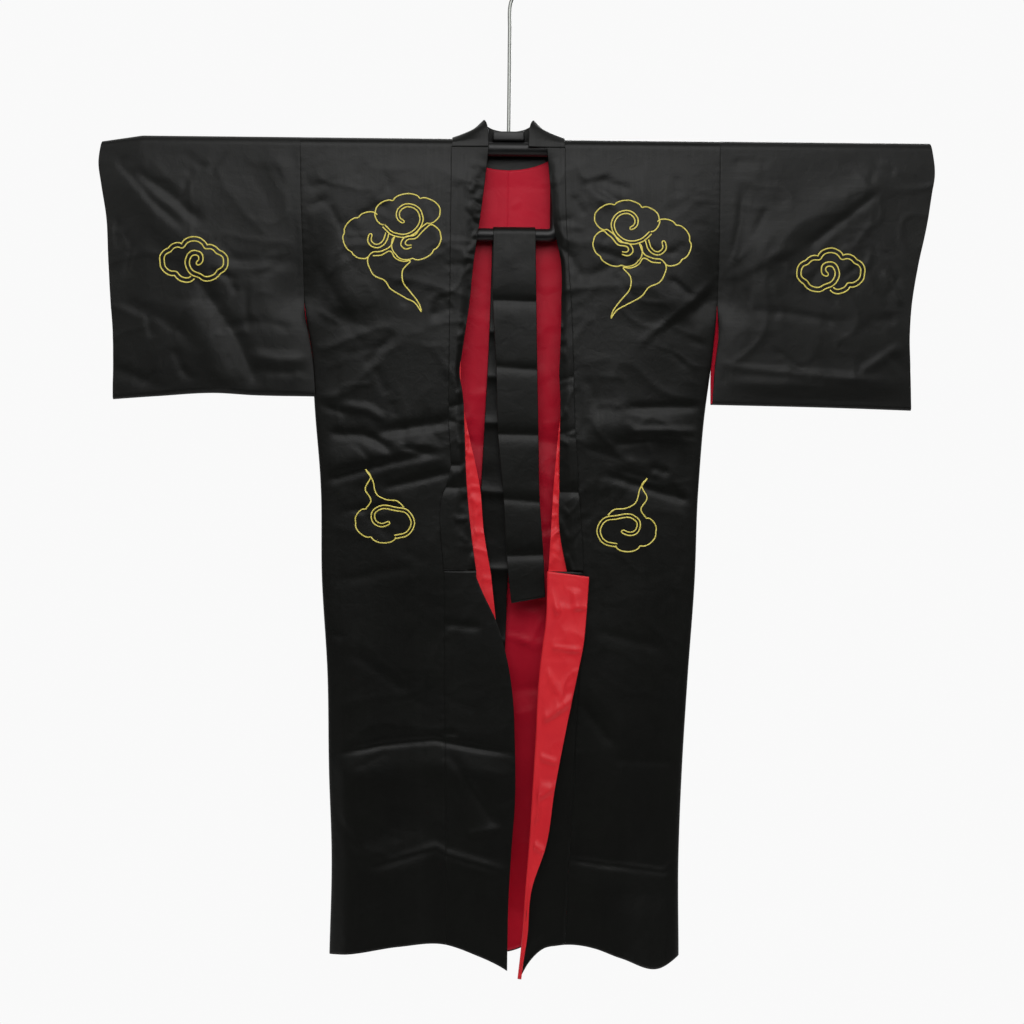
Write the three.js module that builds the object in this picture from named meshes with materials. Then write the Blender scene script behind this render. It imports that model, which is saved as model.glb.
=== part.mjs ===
import * as THREE from 'three';

// An embroidered satin robe cut like a kimono, hung spread out on a straight pole hanger.
// Millimetres, +Z up, the front faces -Y. The origin is where the hook rests on a rail.

// Cloth
const SATIN = 2; // wall of a satin panel
const LINING = 1; // wall of a lining panel
const COLLAR = 2.4; // wall of the folded collar band
const BELT = 2; // wall of the belt, two layers sewn together
const SEAM = 0.3; // gap between neighbouring pieces

// Hanger
const POLE_RADIUS = 12;
const POLE_CHAMFER = 3;
const POLE_LEFT = -596;
const POLE_RIGHT = 679;
const POLE_Z = -301;
const WRAP = 16; // outer face of the cloth over the pole, from the pole's axis
const SHOULDER_Z = POLE_Z + WRAP;
const HOOK_WIRE = 3; // radius of the hook's wire
const HOOK_BEND = 22; // radius of the hook's bend, to the wire's middle
const BAR_Z = -442;
const BAR_RADIUS = 11;
const BAR_HALF = 80;
const BAR_CORNER = 16; // bend between the belt bar and its arms
const SOCKET = { width: 52, depth: 16, height: 16 };

// Robe
const ARMHOLE_Z = -554; // lower end of the seam between a sleeve and the body
const COLLAR_END_Z = -1003;
const SEAM_HALF = SATIN + SEAM / 2; // outer face of a side seam, from the middle plane
const SIDE_ROUNDING = 220; // how far in from a side seam the body reaches its full depth
const SLEEVE_ROUNDING = 90;
const CUFF_FOLD = 6; // outer radius of the fold along a sleeve's lower edge
const BODY_FOOT_Z = -1620; // level where the columns of the body are spread out
const SLEEVE_FOOT_Z = -719; // the same for a sleeve
const LINING_MARGIN = 8; // the lining ends this far above the hem
const BODY_EASE = { shoulder: 60, seam: 40 }; // distances over which creases fade in
const SLEEVE_EASE = { shoulder: 40, seam: 30, fold: 40, foldZ: -712 };
const OPEN_EASE = 60; // height over which a sleeve's open edge parts, below the armhole
const FLAP = { foldRadius: 1.6, lift: 2, cornerDrop: 8 }; // turned-out part of the right overlap

// Body at each height: side seams, front seams (outer edges of the collar) and half depth
const BODY = [
  { z: -285, sideLeft: -340, seamLeft: -92, seamRight: 92, sideRight: 346, depth: 16 },
  { z: -301, sideLeft: -340, seamLeft: -92, seamRight: 92, sideRight: 346, depth: 16 },
  { z: -380, sideLeft: -338, seamLeft: -92, seamRight: 93, sideRight: 346, depth: 19 },
  { z: -490, sideLeft: -334, seamLeft: -92, seamRight: 99, sideRight: 346, depth: 21 },
  { z: -554, sideLeft: -332, seamLeft: -92, seamRight: 104, sideRight: 345, depth: 21 },
  { z: -636, sideLeft: -321, seamLeft: -92, seamRight: 108, sideRight: 336, depth: 22 },
  { z: -746, sideLeft: -312, seamLeft: -92, seamRight: 112, sideRight: 324, depth: 23 },
  { z: -845, sideLeft: -303, seamLeft: -92, seamRight: 119, sideRight: 318, depth: 23 },
  { z: -862, sideLeft: -302, seamLeft: -98, seamRight: 120, sideRight: 317, depth: 23 },
  { z: -1003, sideLeft: -299, seamLeft: -97, seamRight: 129, sideRight: 313, depth: 24 },
  { z: -1165, sideLeft: -288, seamLeft: -95, seamRight: 124, sideRight: 303, depth: 26 },
  { z: -1320, sideLeft: -284, seamLeft: -92, seamRight: 118, sideRight: 295, depth: 28 },
  { z: -1468, sideLeft: -278, seamLeft: -89, seamRight: 111, sideRight: 291, depth: 30 },
  { z: -1620, sideLeft: -280, seamLeft: -87, seamRight: 105, sideRight: 293, depth: 33 },
];

// Hems, from the left side seam to the right one
const FRONT_HEM = [
  { x: -280, z: -1623 },
  { x: -245, z: -1619 },
  { x: -164, z: -1606 },
  { x: -87, z: -1598 },
  { x: -42, z: -1614 },
  { x: 12, z: -1640 },
  { x: 35, z: -1656 },
  { x: 44, z: -1628 },
  { x: 68, z: -1606 },
  { x: 93, z: -1600 },
  { x: 155, z: -1604 },
  { x: 195, z: -1618 },
  { x: 264, z: -1638 },
  { x: 293, z: -1619 },
];
const BACK_HEM = [
  { x: -280, z: -1623 },
  { x: -150, z: -1612 },
  { x: 0, z: -1620 },
  { x: 40, z: -1612 },
  { x: 150, z: -1614 },
  { x: 293, z: -1619 },
];

// Neckline of the back, by distance from the centre
const NECK_HALF = 92;
const NECKLINE = [
  { x: 0, z: -333 },
  { x: 24, z: -331 },
  { x: 48, z: -325 },
  { x: 70, z: -315 },
  { x: NECK_HALF, z: POLE_Z },
];

// Collar bands in front: the free inner edges
const COLLAR_EDGES = [
  { z: -301, left: -33, right: 64 },
  { z: -383, left: -42, right: 72 },
  { z: -430, left: -48, right: 77 },
  { z: -490, left: -56, right: 89 },
  { z: -554, left: -62, right: 90 },
  { z: -636, left: -73, right: 89 },
  { z: -666, left: -77, right: 88 },
  { z: -708, left: -71, right: 90 },
  { z: -760, left: -68, right: 90 },
  { z: -845, left: -64, right: 90 },
  { z: -926, left: -56, right: 91 },
  { z: -1003, left: -45, right: 106 },
];

// Back of the collar, from the left shoulder round the neck: seam edge, then free edge
const COLLAR_BACK = [
  { seam: [-91.4, -15, -300], edge: [-33.5, -16.6, -300.4] },
  { seam: [-91.2, -13, -291], edge: [-34, -13, -284] },
  { seam: [-91, -1, -283.6], edge: [-36, -7, -264] },
  { seam: [-91, 12.6, -292], edge: [-40, 2, -254] },
  { seam: [-84, 15.4, -302], edge: [-42, 7, -256] },
  { seam: [-60, 15.6, -317.5], edge: [-38, 10, -261] },
  { seam: [-32, 16, -327.4], edge: [-24, 12, -268] },
  { seam: [0, 16.2, -331.2], edge: [0, 13.4, -271] },
];

// Lining of the fronts where it stands out past the collar
const FACING_EDGES = [
  { z: -700, left: -74, right: 93 },
  { z: -760, left: -62, right: 87 },
  { z: -862, left: -40, right: 79 },
  { z: -926, left: -34, right: 76 },
  { z: -1000, left: -21, right: 72 },
];

// Narrow overlap panels below the collar: the left one's free edge, the right one's fold line
// and its free edge, which is turned outward over the front
const OVERLAP = [
  { z: -1003, left: -45, fold: 69, right: 138 },
  { z: -1024, left: -36, fold: 69, right: 137 },
  { z: -1076, left: -11, fold: 68, right: 134 },
  { z: -1121, left: 3, fold: 63, right: 130 },
  { z: -1170, left: 13, fold: 58, right: 121 },
  { z: -1282, left: 21, fold: 53, right: 100 },
  { z: -1363, left: 22, fold: 50, right: 85 },
  { z: -1458, left: 16, fold: 48, right: 72 },
  { z: -1523, left: 13, fold: 46, right: 58 },
  { z: -1656, left: 12, fold: 35, right: 40 },
];

// Sleeves: armhole and cuff edges by height, and the lower fold by distance
const SLEEVE_LEFT = {
  armhole: 'sideLeft',
  openEdges: [
    { z: -554, front: -332, back: -332 },
    { z: -606, front: -331, back: -326 },
    { z: -650, front: -327, back: -321.5 },
    { z: -719, front: -317, back: -316 },
  ],
  cuff: [
    { z: -285, x: -664 },
    { z: -333, x: -670 },
    { z: -367, x: -665 },
    { z: -421, x: -656 },
    { z: -490, x: -652 },
    { z: -554, x: -648 },
    { z: -606, x: -644 },
    { z: -719, x: -644 },
  ],
  fold: [
    { x: -670, z: -720 },
    { x: -570, z: -712 },
    { x: -476, z: -706 },
    { x: -414, z: -709 },
    { x: -317, z: -710 },
  ],
};
const SLEEVE_RIGHT = {
  armhole: 'sideRight',
  openEdges: [
    { z: -554, front: 345, back: 345 },
    { z: -606, front: 347, back: 341 },
    { z: -650, front: 342, back: 336.5 },
    { z: -719, front: 338, back: 336 },
  ],
  cuff: [
    { z: -285, x: 690 },
    { z: -340, x: 696 },
    { z: -367, x: 692 },
    { z: -421, x: 684 },
    { z: -490, x: 670 },
    { z: -554, x: 661 },
    { z: -606, x: 659 },
    { z: -650, x: 661 },
    { z: -719, x: 664 },
  ],
  fold: [
    { x: 338, z: -717 },
    { x: 542, z: -720 },
    { x: 696, z: -724 },
  ],
};
const DROOP = { from: -600, to: -664, drop: 10, wrap: 10 }; // left sleeve, past the pole's end
const SLEEVE_DEPTH = [
  { z: -301, depth: 16 },
  { z: -400, depth: 18 },
  { z: -550, depth: 15 },
  { z: -650, depth: 11 },
  { z: -712, depth: 6 },
];

// Soft folds that run down the body and grow towards the hem; height is outward
const HEM_FOLD_GROWTH = 450; // height over which a fold reaches its full size
const HEM_FOLDS = [
  { side: -1, x: -245, width: 45, top: -1000, height: 7 },
  { side: -1, x: -170, width: 55, top: -900, height: -6 },
  { side: -1, x: -88, width: 50, top: -1100, height: 9 },
  { side: -1, x: 5, width: 40, top: -1150, height: 6 },
  { side: -1, x: 120, width: 50, top: -1100, height: -5 },
  { side: -1, x: 185, width: 45, top: -1000, height: 8 },
  { side: -1, x: 255, width: 40, top: -950, height: -4 },
  { side: 1, x: -220, width: 55, top: -900, height: 9 },
  { side: 1, x: -110, width: 50, top: -1000, height: -6 },
  { side: 1, x: -10, width: 60, top: -900, height: 8 },
  { side: 1, x: 100, width: 50, top: -1100, height: -5 },
  { side: 1, x: 200, width: 60, top: -950, height: 9 },
];

// Largest creases, as ridges along a line, which fade out over a fifth of it at each end
const CREASE_FADE = 5;
const CREASES = [
  { side: -1, x0: -643, z0: -341, x1: -453, z1: -530, width: 26, height: 6 },
  { side: -1, x0: -508, z0: -531, x1: -414, z1: -700, width: 28, height: 5 },
  { side: -1, x0: -398, z0: -300, x1: -345, z1: -430, width: 22, height: 3 },
  { side: -1, x0: 590, z0: -365, x1: 380, z1: -505, width: 26, height: 5 },
  { side: -1, x0: 400, z0: -660, x1: 640, z1: -640, width: 26, height: 3 },
  { side: -1, x0: -310, z0: -800, x1: -105, z1: -770, width: 26, height: 4 },
  { side: -1, x0: -290, z0: -1292, x1: -110, z1: -1268, width: 28, height: 5 },
  { side: -1, x0: -110, z0: -1268, x1: 15, z1: -1290, width: 28, height: 5 },
  { side: -1, x0: -230, z0: -1470, x1: -110, z1: -1436, width: 28, height: 4 },
  { side: -1, x0: 130, z0: -710, x1: 300, z1: -690, width: 26, height: 4 },
  { side: -1, x0: 110, z0: -1466, x1: 270, z1: -1480, width: 28, height: 4 },
  { side: 1, x0: -300, z0: -790, x1: 300, z1: -775, width: 30, height: 4 },
  { side: 1, x0: -280, z0: -1180, x1: 290, z1: -1195, width: 30, height: 4 },
  { side: 1, x0: 600, z0: -380, x1: 400, z1: -540, width: 28, height: 5 },
  { side: 1, x0: -620, z0: -370, x1: -430, z1: -560, width: 28, height: 5 },
];

// Heights of the body's rows, down to the collar's end, then the shares of the rest to the hem
const WRAP_ROWS = [0, 30, 60, 90].map(THREE.MathUtils.degToRad).map((a) => POLE_Z + WRAP * Math.cos(a));
const UPPER_ROWS = [-340, -383, -430, -490, -554, -600, -636, -690, -746, -795, -845, -862, -926, -1003];
const LOWER_SHARES = [0.13, 0.27, 0.42, 0.56, 0.71, 0.86, 1];
const FRONT_COLUMNS = [0, 0.03, 0.1, 0.22, 0.37, 0.53, 0.69, 0.85, 1];
const BACK_COLUMNS = [0, 0.03, 0.08, 0.17, 0.3, 0.44, 0.58]; // out of the neck
const NECK_COLUMNS = [0, 0.25, 0.5, 0.75, 1]; // from the neck's corner to the centre seam
const SLEEVE_COLUMNS = [0, 0.05, 0.16, 0.3, 0.45, 0.62, 0.8, 0.9, 1];
const SLEEVE_ROWS = [-349, -410, -482, ARMHOLE_Z];
const SLEEVE_LOWER_SHARES = [0.35, 0.72]; // between the armhole's end and the fold
const NECK_FOOT = -430; // rows above this close up towards the neckline
const COLLAR_END_ROW = WRAP_ROWS.length + UPPER_ROWS.length - 1;
const HEM_ROW = COLLAR_END_ROW + LOWER_SHARES.length;
const ALL_ROWS = Array.from({ length: HEM_ROW + 1 }, (_, i) => i);

const satin = { color: 0x1c1c1a, roughness: 0.35, metalness: 0 };
const redLining = { color: 0xb01828, roughness: 0.5, metalness: 0 };
const steel = { color: 0xa8aaa6, roughness: 0.3, metalness: 1 };
const blackPlastic = { color: 0x141414, roughness: 0.4, metalness: 0 };

const robe = new THREE.Group();

function addPiece(name, geometry, finish) {
  const piece = new THREE.Mesh(geometry, new THREE.MeshStandardMaterial(finish));
  piece.name = name;
  robe.add(piece);
}

// Value of a table's column at a key, straight between its rows
function lookUp(table, key, column, at) {
  const rising = table[table.length - 1][key] > table[0][key];
  const rows = rising ? table : [...table].reverse();
  if (at <= rows[0][key]) return rows[0][column];
  const i = rows.findIndex((row) => at <= row[key]);
  if (i < 0) return rows[rows.length - 1][column];
  const share = (at - rows[i - 1][key]) / (rows[i][key] - rows[i - 1][key]);
  return THREE.MathUtils.lerp(rows[i - 1][column], rows[i][column], share);
}

function ramp(share) {
  return THREE.MathUtils.smoothstep(share, 0, 1);
}

// Quarter ellipse, from 0 at the edge to 1 at the full distance
function rounding(distance, full) {
  const rest = 1 - THREE.MathUtils.clamp(distance / full, 0, 1);
  return Math.sqrt(1 - rest * rest);
}

function creaseHeight(crease, x, z) {
  const dx = crease.x1 - crease.x0;
  const dz = crease.z1 - crease.z0;
  const length = Math.hypot(dx, dz);
  const along = ((x - crease.x0) * dx + (z - crease.z0) * dz) / (length * length);
  const across = ((x - crease.x0) * dz - (z - crease.z0) * dx) / length;
  const ends = ramp(along * CREASE_FADE + 0.5) * ramp((1 - along) * CREASE_FADE + 0.5);
  return crease.height * ends * Math.exp(-((across / crease.width) ** 2));
}

// How far the creases and hem folds push the cloth outward on one side of the robe
function relief(x, z, side) {
  let sum = 0;
  for (const crease of CREASES) {
    if (crease.side === side) sum += creaseHeight(crease, x, z);
  }
  for (const fold of HEM_FOLDS) {
    const grown = ramp((fold.top - z) / HEM_FOLD_GROWTH);
    if (fold.side === side) sum += fold.height * grown * Math.exp(-(((x - fold.x) / fold.width) ** 2));
  }
  return sum;
}

// Half depth where the sleeve joins the body: round the pole above, flat at the armhole's end
function armholeDepth(z) {
  return THREE.MathUtils.lerp(WRAP, SEAM_HALF, ramp((POLE_Z - z) / (POLE_Z - ARMHOLE_Z)));
}

function bodyDepth(x, z, side) {
  const edge = armholeDepth(z);
  const inset = Math.min(x - lookUp(BODY, 'z', 'sideLeft', z), lookUp(BODY, 'z', 'sideRight', z) - x);
  const rise = rounding(inset, SIDE_ROUNDING);
  const full = lookUp(BODY, 'z', 'depth', z);
  const ease = ramp((POLE_Z - z) / BODY_EASE.shoulder) * ramp(inset / BODY_EASE.seam);
  return edge + (full - edge) * rise + ease * relief(x, z, side);
}

function sleeveDepth(x, z, side, inner) {
  const full = lookUp(SLEEVE_DEPTH, 'z', 'depth', z);
  const parted = ramp((ARMHOLE_Z - z) / OPEN_EASE);
  const open = THREE.MathUtils.lerp(SEAM_HALF, Math.min(CUFF_FOLD, full), parted);
  const edge = z > ARMHOLE_Z ? armholeDepth(z) : open;
  const inset = Math.abs(x - inner);
  const { shoulder, seam, fold, foldZ } = SLEEVE_EASE;
  const ease = ramp((POLE_Z - z) / shoulder) * ramp(inset / seam) * ramp((z - foldZ) / fold);
  return edge + (full - edge) * rounding(inset, SLEEVE_ROUNDING) + ease * relief(x, z, side);
}

// Closed wall between an outer and an inner grid of points, each an array of rows. A cell
// that is cut away is left out, and every edge that only one cell has gets a side face.
function wall(outer, inner, isCutAway = () => false) {
  const rows = outer.length;
  const columns = outer[0].length;
  const points = [...outer.flat(), ...inner.flat()];
  const innerStart = rows * columns;
  const cells = [];
  for (let r = 0; r < rows - 1; r += 1) {
    for (let c = 0; c < columns - 1; c += 1) {
      const a = r * columns + c;
      if (!isCutAway(r, c)) cells.push([a, a + columns, a + columns + 1, a + 1]);
    }
  }
  const sides = new Map();
  const index = [];
  for (const [a, b, c, d] of cells) {
    index.push(a, b, c, a, c, d);
    index.push(...[a, c, b, a, d, c].map((i) => i + innerStart));
    for (const [start, end] of [[a, b], [b, c], [c, d], [d, a]]) {
      const twin = `${end},${start}`;
      if (sides.has(twin)) sides.delete(twin);
      else sides.set(`${start},${end}`, [start, end]);
    }
  }
  for (const [start, end] of sides.values()) {
    index.push(start, start + innerStart, end + innerStart, start, end + innerStart, end);
  }
  const used = [...new Set(index)];
  const place = new Map(used.map((i, order) => [i, order]));
  const positions = used.flatMap((i) => points[i]);
  const faces = index.map((i) => place.get(i));
  if (signedVolume(positions, faces) < 0) faces.reverse();
  const geometry = new THREE.BufferGeometry();
  geometry.setAttribute('position', new THREE.Float32BufferAttribute(positions, 3));
  geometry.setIndex(faces);
  return geometry;
}

function signedVolume(positions, index) {
  const corner = (i) => new THREE.Vector3().fromArray(positions, index[i] * 3);
  let volume = 0;
  for (let i = 0; i < index.length; i += 3) {
    volume += corner(i).dot(corner(i + 1).cross(corner(i + 2))) / 6;
  }
  return volume;
}

// Point of the cloth at x and z, a given inset in from its outer face: round the pole
// above the pole's axis, and straight back from the outer face below it
function clothPoint(x, z, side, inset, depth, axis = POLE_Z, wrap = WRAP) {
  if (z > axis) {
    const cosine = THREE.MathUtils.clamp((z - axis) / wrap, -1, 1);
    const sine = Math.sqrt(1 - cosine * cosine);
    const radius = wrap - inset;
    return [x, side * Math.max(radius * sine, SEAM / 2), axis + radius * cosine];
  }
  return [x, side * (depth(x, z) - inset), z];
}

function bodyHeights(hemZ) {
  const lower = LOWER_SHARES.map((share) => THREE.MathUtils.lerp(COLLAR_END_Z, hemZ, share));
  return [...WRAP_ROWS, ...UPPER_ROWS, ...lower];
}

// Height of a body row at x, for a given hem; the hem is looked up at the foot of the column
function rowHeight(row, hem, footX) {
  return bodyHeights(lookUp(hem, 'x', 'z', footX))[row];
}

// Grid of a body panel between two edges, which are functions of height. Where the panel has
// a neckline, its rows below the pole's axis close up towards it.
function bodyGrid({ columns, from, to, side, hem, inset, rows, neck = false, margin = 0 }) {
  return rows.map((row) => columns.map((share) => {
    const footX = THREE.MathUtils.lerp(from(BODY_FOOT_Z), to(BODY_FOOT_Z), share);
    let z = rowHeight(row, hem, footX);
    const x = THREE.MathUtils.lerp(from(z), to(z), share);
    if (neck && z <= POLE_Z && z > NECK_FOOT) {
      const top = lookUp(NECKLINE, 'x', 'z', Math.abs(x));
      z = THREE.MathUtils.mapLinear(z, NECK_FOOT, POLE_Z, NECK_FOOT, top);
    }
    if (row === HEM_ROW) z += margin;
    return clothPoint(x, z, side, inset, (px, pz) => bodyDepth(px, pz, side));
  }));
}

function bodyWall(options, thickness, inset = 0, isCutAway = undefined) {
  const outer = bodyGrid({ rows: ALL_ROWS, ...options, inset });
  const inner = bodyGrid({ rows: ALL_ROWS, ...options, inset: inset + thickness });
  return wall(outer, inner, isCutAway);
}

const edge = (column, shift = 0) => (z) => lookUp(BODY, 'z', column, z) + shift;

function addBody() {
  const front = { columns: FRONT_COLUMNS, hem: FRONT_HEM, side: -1 };
  const fronts = {
    front_left: { from: edge('sideLeft'), to: edge('seamLeft', -SEAM) },
    front_right: { from: edge('sideRight'), to: edge('seamRight', SEAM) },
  };
  for (const [name, edges] of Object.entries(fronts)) {
    addPiece(name, bodyWall({ ...front, ...edges }, SATIN), satin);
  }
  for (const [name, sideColumn, sign] of [['left', 'sideLeft', -1], ['right', 'sideRight', 1]]) {
    const corner = 1 - NECK_HALF / Math.abs(lookUp(BODY, 'z', sideColumn, SHOULDER_Z));
    const neckColumns = NECK_COLUMNS.map((share) => THREE.MathUtils.lerp(corner, 1, share));
    const columns = [...BACK_COLUMNS, ...neckColumns];
    const to = () => sign * SEAM / 2;
    const back = { columns, hem: BACK_HEM, neck: true, side: 1, from: edge(sideColumn), to };
    const isNeck = (dropped) => (r, c) => (
      r < WRAP_ROWS.length - 1 && c >= BACK_COLUMNS.length - dropped
    );
    addPiece(`back_${name}`, bodyWall(back, SATIN, 0, isNeck(0)), satin);
    const lining = { ...back, columns: columns.slice(2), margin: LINING_MARGIN };
    addPiece(`lining_back_${name}`, bodyWall(lining, LINING, SATIN + SEAM, isNeck(2)), redLining);
  }
}

// Collar bands down the two fronts, in line with the panels they are sewn to
function addFrontCollars() {
  const rows = ALL_ROWS.slice(WRAP_ROWS.length - 1, COLLAR_END_ROW + 1);
  const columns = [0, 0.33, 0.66, 1];
  const proud = (COLLAR - SATIN) / 2;
  const fall = (seamColumn, edgeColumn, gap) => {
    const options = {
      columns,
      rows,
      from: edge(seamColumn, gap),
      to: (z) => lookUp(COLLAR_EDGES, 'z', edgeColumn, z),
      side: -1,
      hem: FRONT_HEM,
    };
    return wall(bodyGrid({ ...options, inset: -proud }), bodyGrid({ ...options, inset: COLLAR - proud }));
  };
  addPiece('collar_left', fall('seamLeft', 'left', 0), satin);
  addPiece('collar_right', fall('seamRight', 'right', 0), satin);
}

// The rest of the collar, standing round the back of the neck
function addBackCollar() {
  const mirrored = COLLAR_BACK.slice(0, -1).reverse().map(({ seam, edge: free }) => ({
    seam: [-seam[0], seam[1], seam[2]],
    edge: [-free[0], free[1], free[2]],
  }));
  const sections = [...COLLAR_BACK, ...mirrored];
  const shares = [0, 0.33, 0.67, 1];
  const middle = sections.map(({ seam, edge: free }) => shares.map((share) => (
    new THREE.Vector3(...seam).lerp(new THREE.Vector3(...free), share)
  )));
  const normals = gridNormals(middle);
  const shifted = (distance) => middle.map((row, r) => row.map((point, c) => (
    point.clone().addScaledVector(normals[r][c], distance).toArray()
  )));
  addPiece('collar_back', wall(shifted(COLLAR / 2), shifted(-COLLAR / 2)), satin);
}

function gridNormals(grid) {
  const clampIndex = (i, length) => Math.min(Math.max(i, 0), length - 1);
  return grid.map((row, r) => row.map((_, c) => {
    const below = grid[clampIndex(r + 1, grid.length)][c];
    const above = grid[clampIndex(r - 1, grid.length)][c];
    const right = row[clampIndex(c + 1, row.length)];
    const left = row[clampIndex(c - 1, row.length)];
    return right.clone().sub(left).cross(below.clone().sub(above)).normalize();
  }));
}

// Lining of the fronts where it stands out past the collar
function addFacings() {
  const rows = ALL_ROWS.filter((row) => bodyHeights(0)[row] <= -690 && row <= COLLAR_END_ROW);
  const inset = COLLAR + SEAM;
  for (const [name, seamColumn, column, shift] of [
    ['facing_left', 'seamLeft', 'left', 10],
    ['facing_right', 'seamRight', 'right', -8],
  ]) {
    const options = {
      columns: [0, 0.4, 0.7, 1],
      rows,
      from: edge(seamColumn, shift),
      to: (z) => lookUp(FACING_EDGES, 'z', column, z),
      side: -1,
      hem: FRONT_HEM,
    };
    const outer = bodyGrid({ ...options, inset });
    addPiece(name, wall(outer, bodyGrid({ ...options, inset: inset + LINING })), redLining);
  }
}

function addOverlaps() {
  const rows = ALL_ROWS.slice(COLLAR_END_ROW);
  const left = {
    columns: [0, 0.25, 0.5, 0.75, 1],
    rows,
    from: edge('seamLeft'),
    to: (z) => lookUp(OVERLAP, 'z', 'left', z),
    side: -1,
    hem: FRONT_HEM,
  };
  const lower = (grid) => {
    grid[0].forEach((point) => {
      point[2] -= SEAM;
    });
    return grid;
  };
  const outerLeft = lower(bodyGrid({ ...left, inset: 0 }));
  addPiece('overlap_left', wall(outerLeft, lower(bodyGrid({ ...left, inset: SATIN }))), satin);
  addPiece('overlap_right', wall(lower(turnedGrid(0)), lower(turnedGrid(SATIN))), satin);
  const liningGrid = (inset) => lower(turnedGrid(inset));
  const near = SATIN + SEAM;
  addPiece('lining_overlap_right', wall(liningGrid(near), liningGrid(near + LINING)), redLining);
}

// Right overlap, from its seam to the fold line, round the fold and back over the front.
// inset is measured from the satin face to the lining side.
function turnedGrid(inset) {
  const { foldRadius, cornerDrop } = FLAP;
  const outsideRadius = foldRadius + SATIN + SEAM + LINING;
  const flatShares = [0, 0.5, 1];
  const angles = [30, 60, 90, 120, 150, 180].map(THREE.MathUtils.degToRad);
  const flapShares = [0.25, 0.5, 0.75, 1];
  const grid = [];
  for (const row of ALL_ROWS.slice(COLLAR_END_ROW)) {
    const level = rowHeight(row, FRONT_HEM, 60);
    const seamX = lookUp(BODY, 'z', 'seamRight', level);
    const centreX = lookUp(OVERLAP, 'z', 'fold', level) + outsideRadius;
    const freeX = lookUp(OVERLAP, 'z', 'right', level);
    const depthAt = (x) => bodyDepth(x, level, -1);
    const centreY = -(depthAt(centreX) + foldRadius);
    const points = [];
    const heightAt = (x) => rowHeight(row, FRONT_HEM, row === ALL_ROWS.length - 1 ? x : 60);
    for (const share of flatShares) {
      const x = THREE.MathUtils.lerp(seamX, centreX, share);
      points.push([x, -(depthAt(x) - inset), heightAt(x)]);
    }
    const radius = foldRadius + inset;
    for (const angle of angles) {
      const x = centreX - radius * Math.sin(angle);
      points.push([x, centreY + radius * Math.cos(angle), heightAt(centreX)]);
    }
    for (const share of flapShares) {
      const x = THREE.MathUtils.lerp(centreX, Math.max(freeX, centreX + 2), share);
      const lift = FLAP.lift * share;
      const y = -(Math.max(depthAt(x), depthAt(centreX)) + 2 * foldRadius + inset + lift);
      const drop = row === COLLAR_END_ROW ? cornerDrop * share : 0;
      points.push([x, y, heightAt(centreX) - drop]);
    }
    grid.push(points);
  }
  return grid;
}

// One half of a sleeve, front or back, as a grid of points at an inset from its outer face
function sleeveGrid(sleeve, side, inset, columns) {
  const openEdge = side < 0 ? 'front' : 'back';
  const innerAt = (z) => {
    const sign = Math.sign(sleeve.cuff[0].x);
    if (z >= ARMHOLE_Z) return lookUp(BODY, 'z', sleeve.armhole, z) + sign * SEAM;
    return lookUp(sleeve.openEdges, 'z', openEdge, z) + sign * SEAM;
  };
  const cuffAt = (z) => lookUp(sleeve.cuff, 'z', 'x', z);
  const across = (z, share) => THREE.MathUtils.lerp(innerAt(z), cuffAt(z), share);
  const column = (share) => {
    const foldZ = lookUp(sleeve.fold, 'x', 'z', across(SLEEVE_FOOT_Z, share));
    const pastPole = (across(SHOULDER_Z, share) - DROOP.from) / (DROOP.to - DROOP.from);
    const droop = THREE.MathUtils.clamp(pastPole, 0, 1);
    const wrap = THREE.MathUtils.lerp(WRAP, DROOP.wrap, droop);
    const axis = SHOULDER_Z - DROOP.drop * droop - wrap;
    const foldTop = foldZ + CUFF_FOLD;
    const top = WRAP_ROWS.map((rowZ) => {
      const level = axis + wrap * ((rowZ - POLE_Z) / WRAP);
      return clothPoint(across(level, share), level, side, inset, () => wrap, axis, wrap);
    });
    const lower = SLEEVE_LOWER_SHARES.map((low) => THREE.MathUtils.lerp(ARMHOLE_Z, foldTop, low));
    const middle = [...SLEEVE_ROWS, ...lower].map((level) => {
      const x = across(level, share);
      const shrink = (WRAP - wrap) * (level - foldTop) / (axis - foldTop);
      return [x, side * (sleeveDepth(x, level, side, innerAt(level)) - shrink - inset), level];
    });
    const fold = [90, 45, 0].map(THREE.MathUtils.degToRad).map((angle) => {
      const radius = CUFF_FOLD - inset;
      const y = Math.max(radius * Math.sin(angle), SEAM / 2);
      return [across(foldZ, share), side * y, foldTop - radius * Math.cos(angle)];
    });
    return [...top, ...middle, ...fold];
  };
  const grid = columns.map(column);
  return grid[0].map((_, row) => grid.map((points) => points[row]));
}

function addSleeve(name, sleeve) {
  const near = SATIN + SEAM;
  const within = SLEEVE_COLUMNS.slice(1);
  for (const [half, side] of [['front', -1], ['back', 1]]) {
    const grid = (inset, columns) => sleeveGrid(sleeve, side, inset, columns);
    addPiece(`${name}_${half}`, wall(grid(0, SLEEVE_COLUMNS), grid(SATIN, SLEEVE_COLUMNS)), satin);
    addPiece(`lining_${name}_${half}`, wall(grid(near, within), grid(near + LINING, within)), redLining);
  }
}

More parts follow.
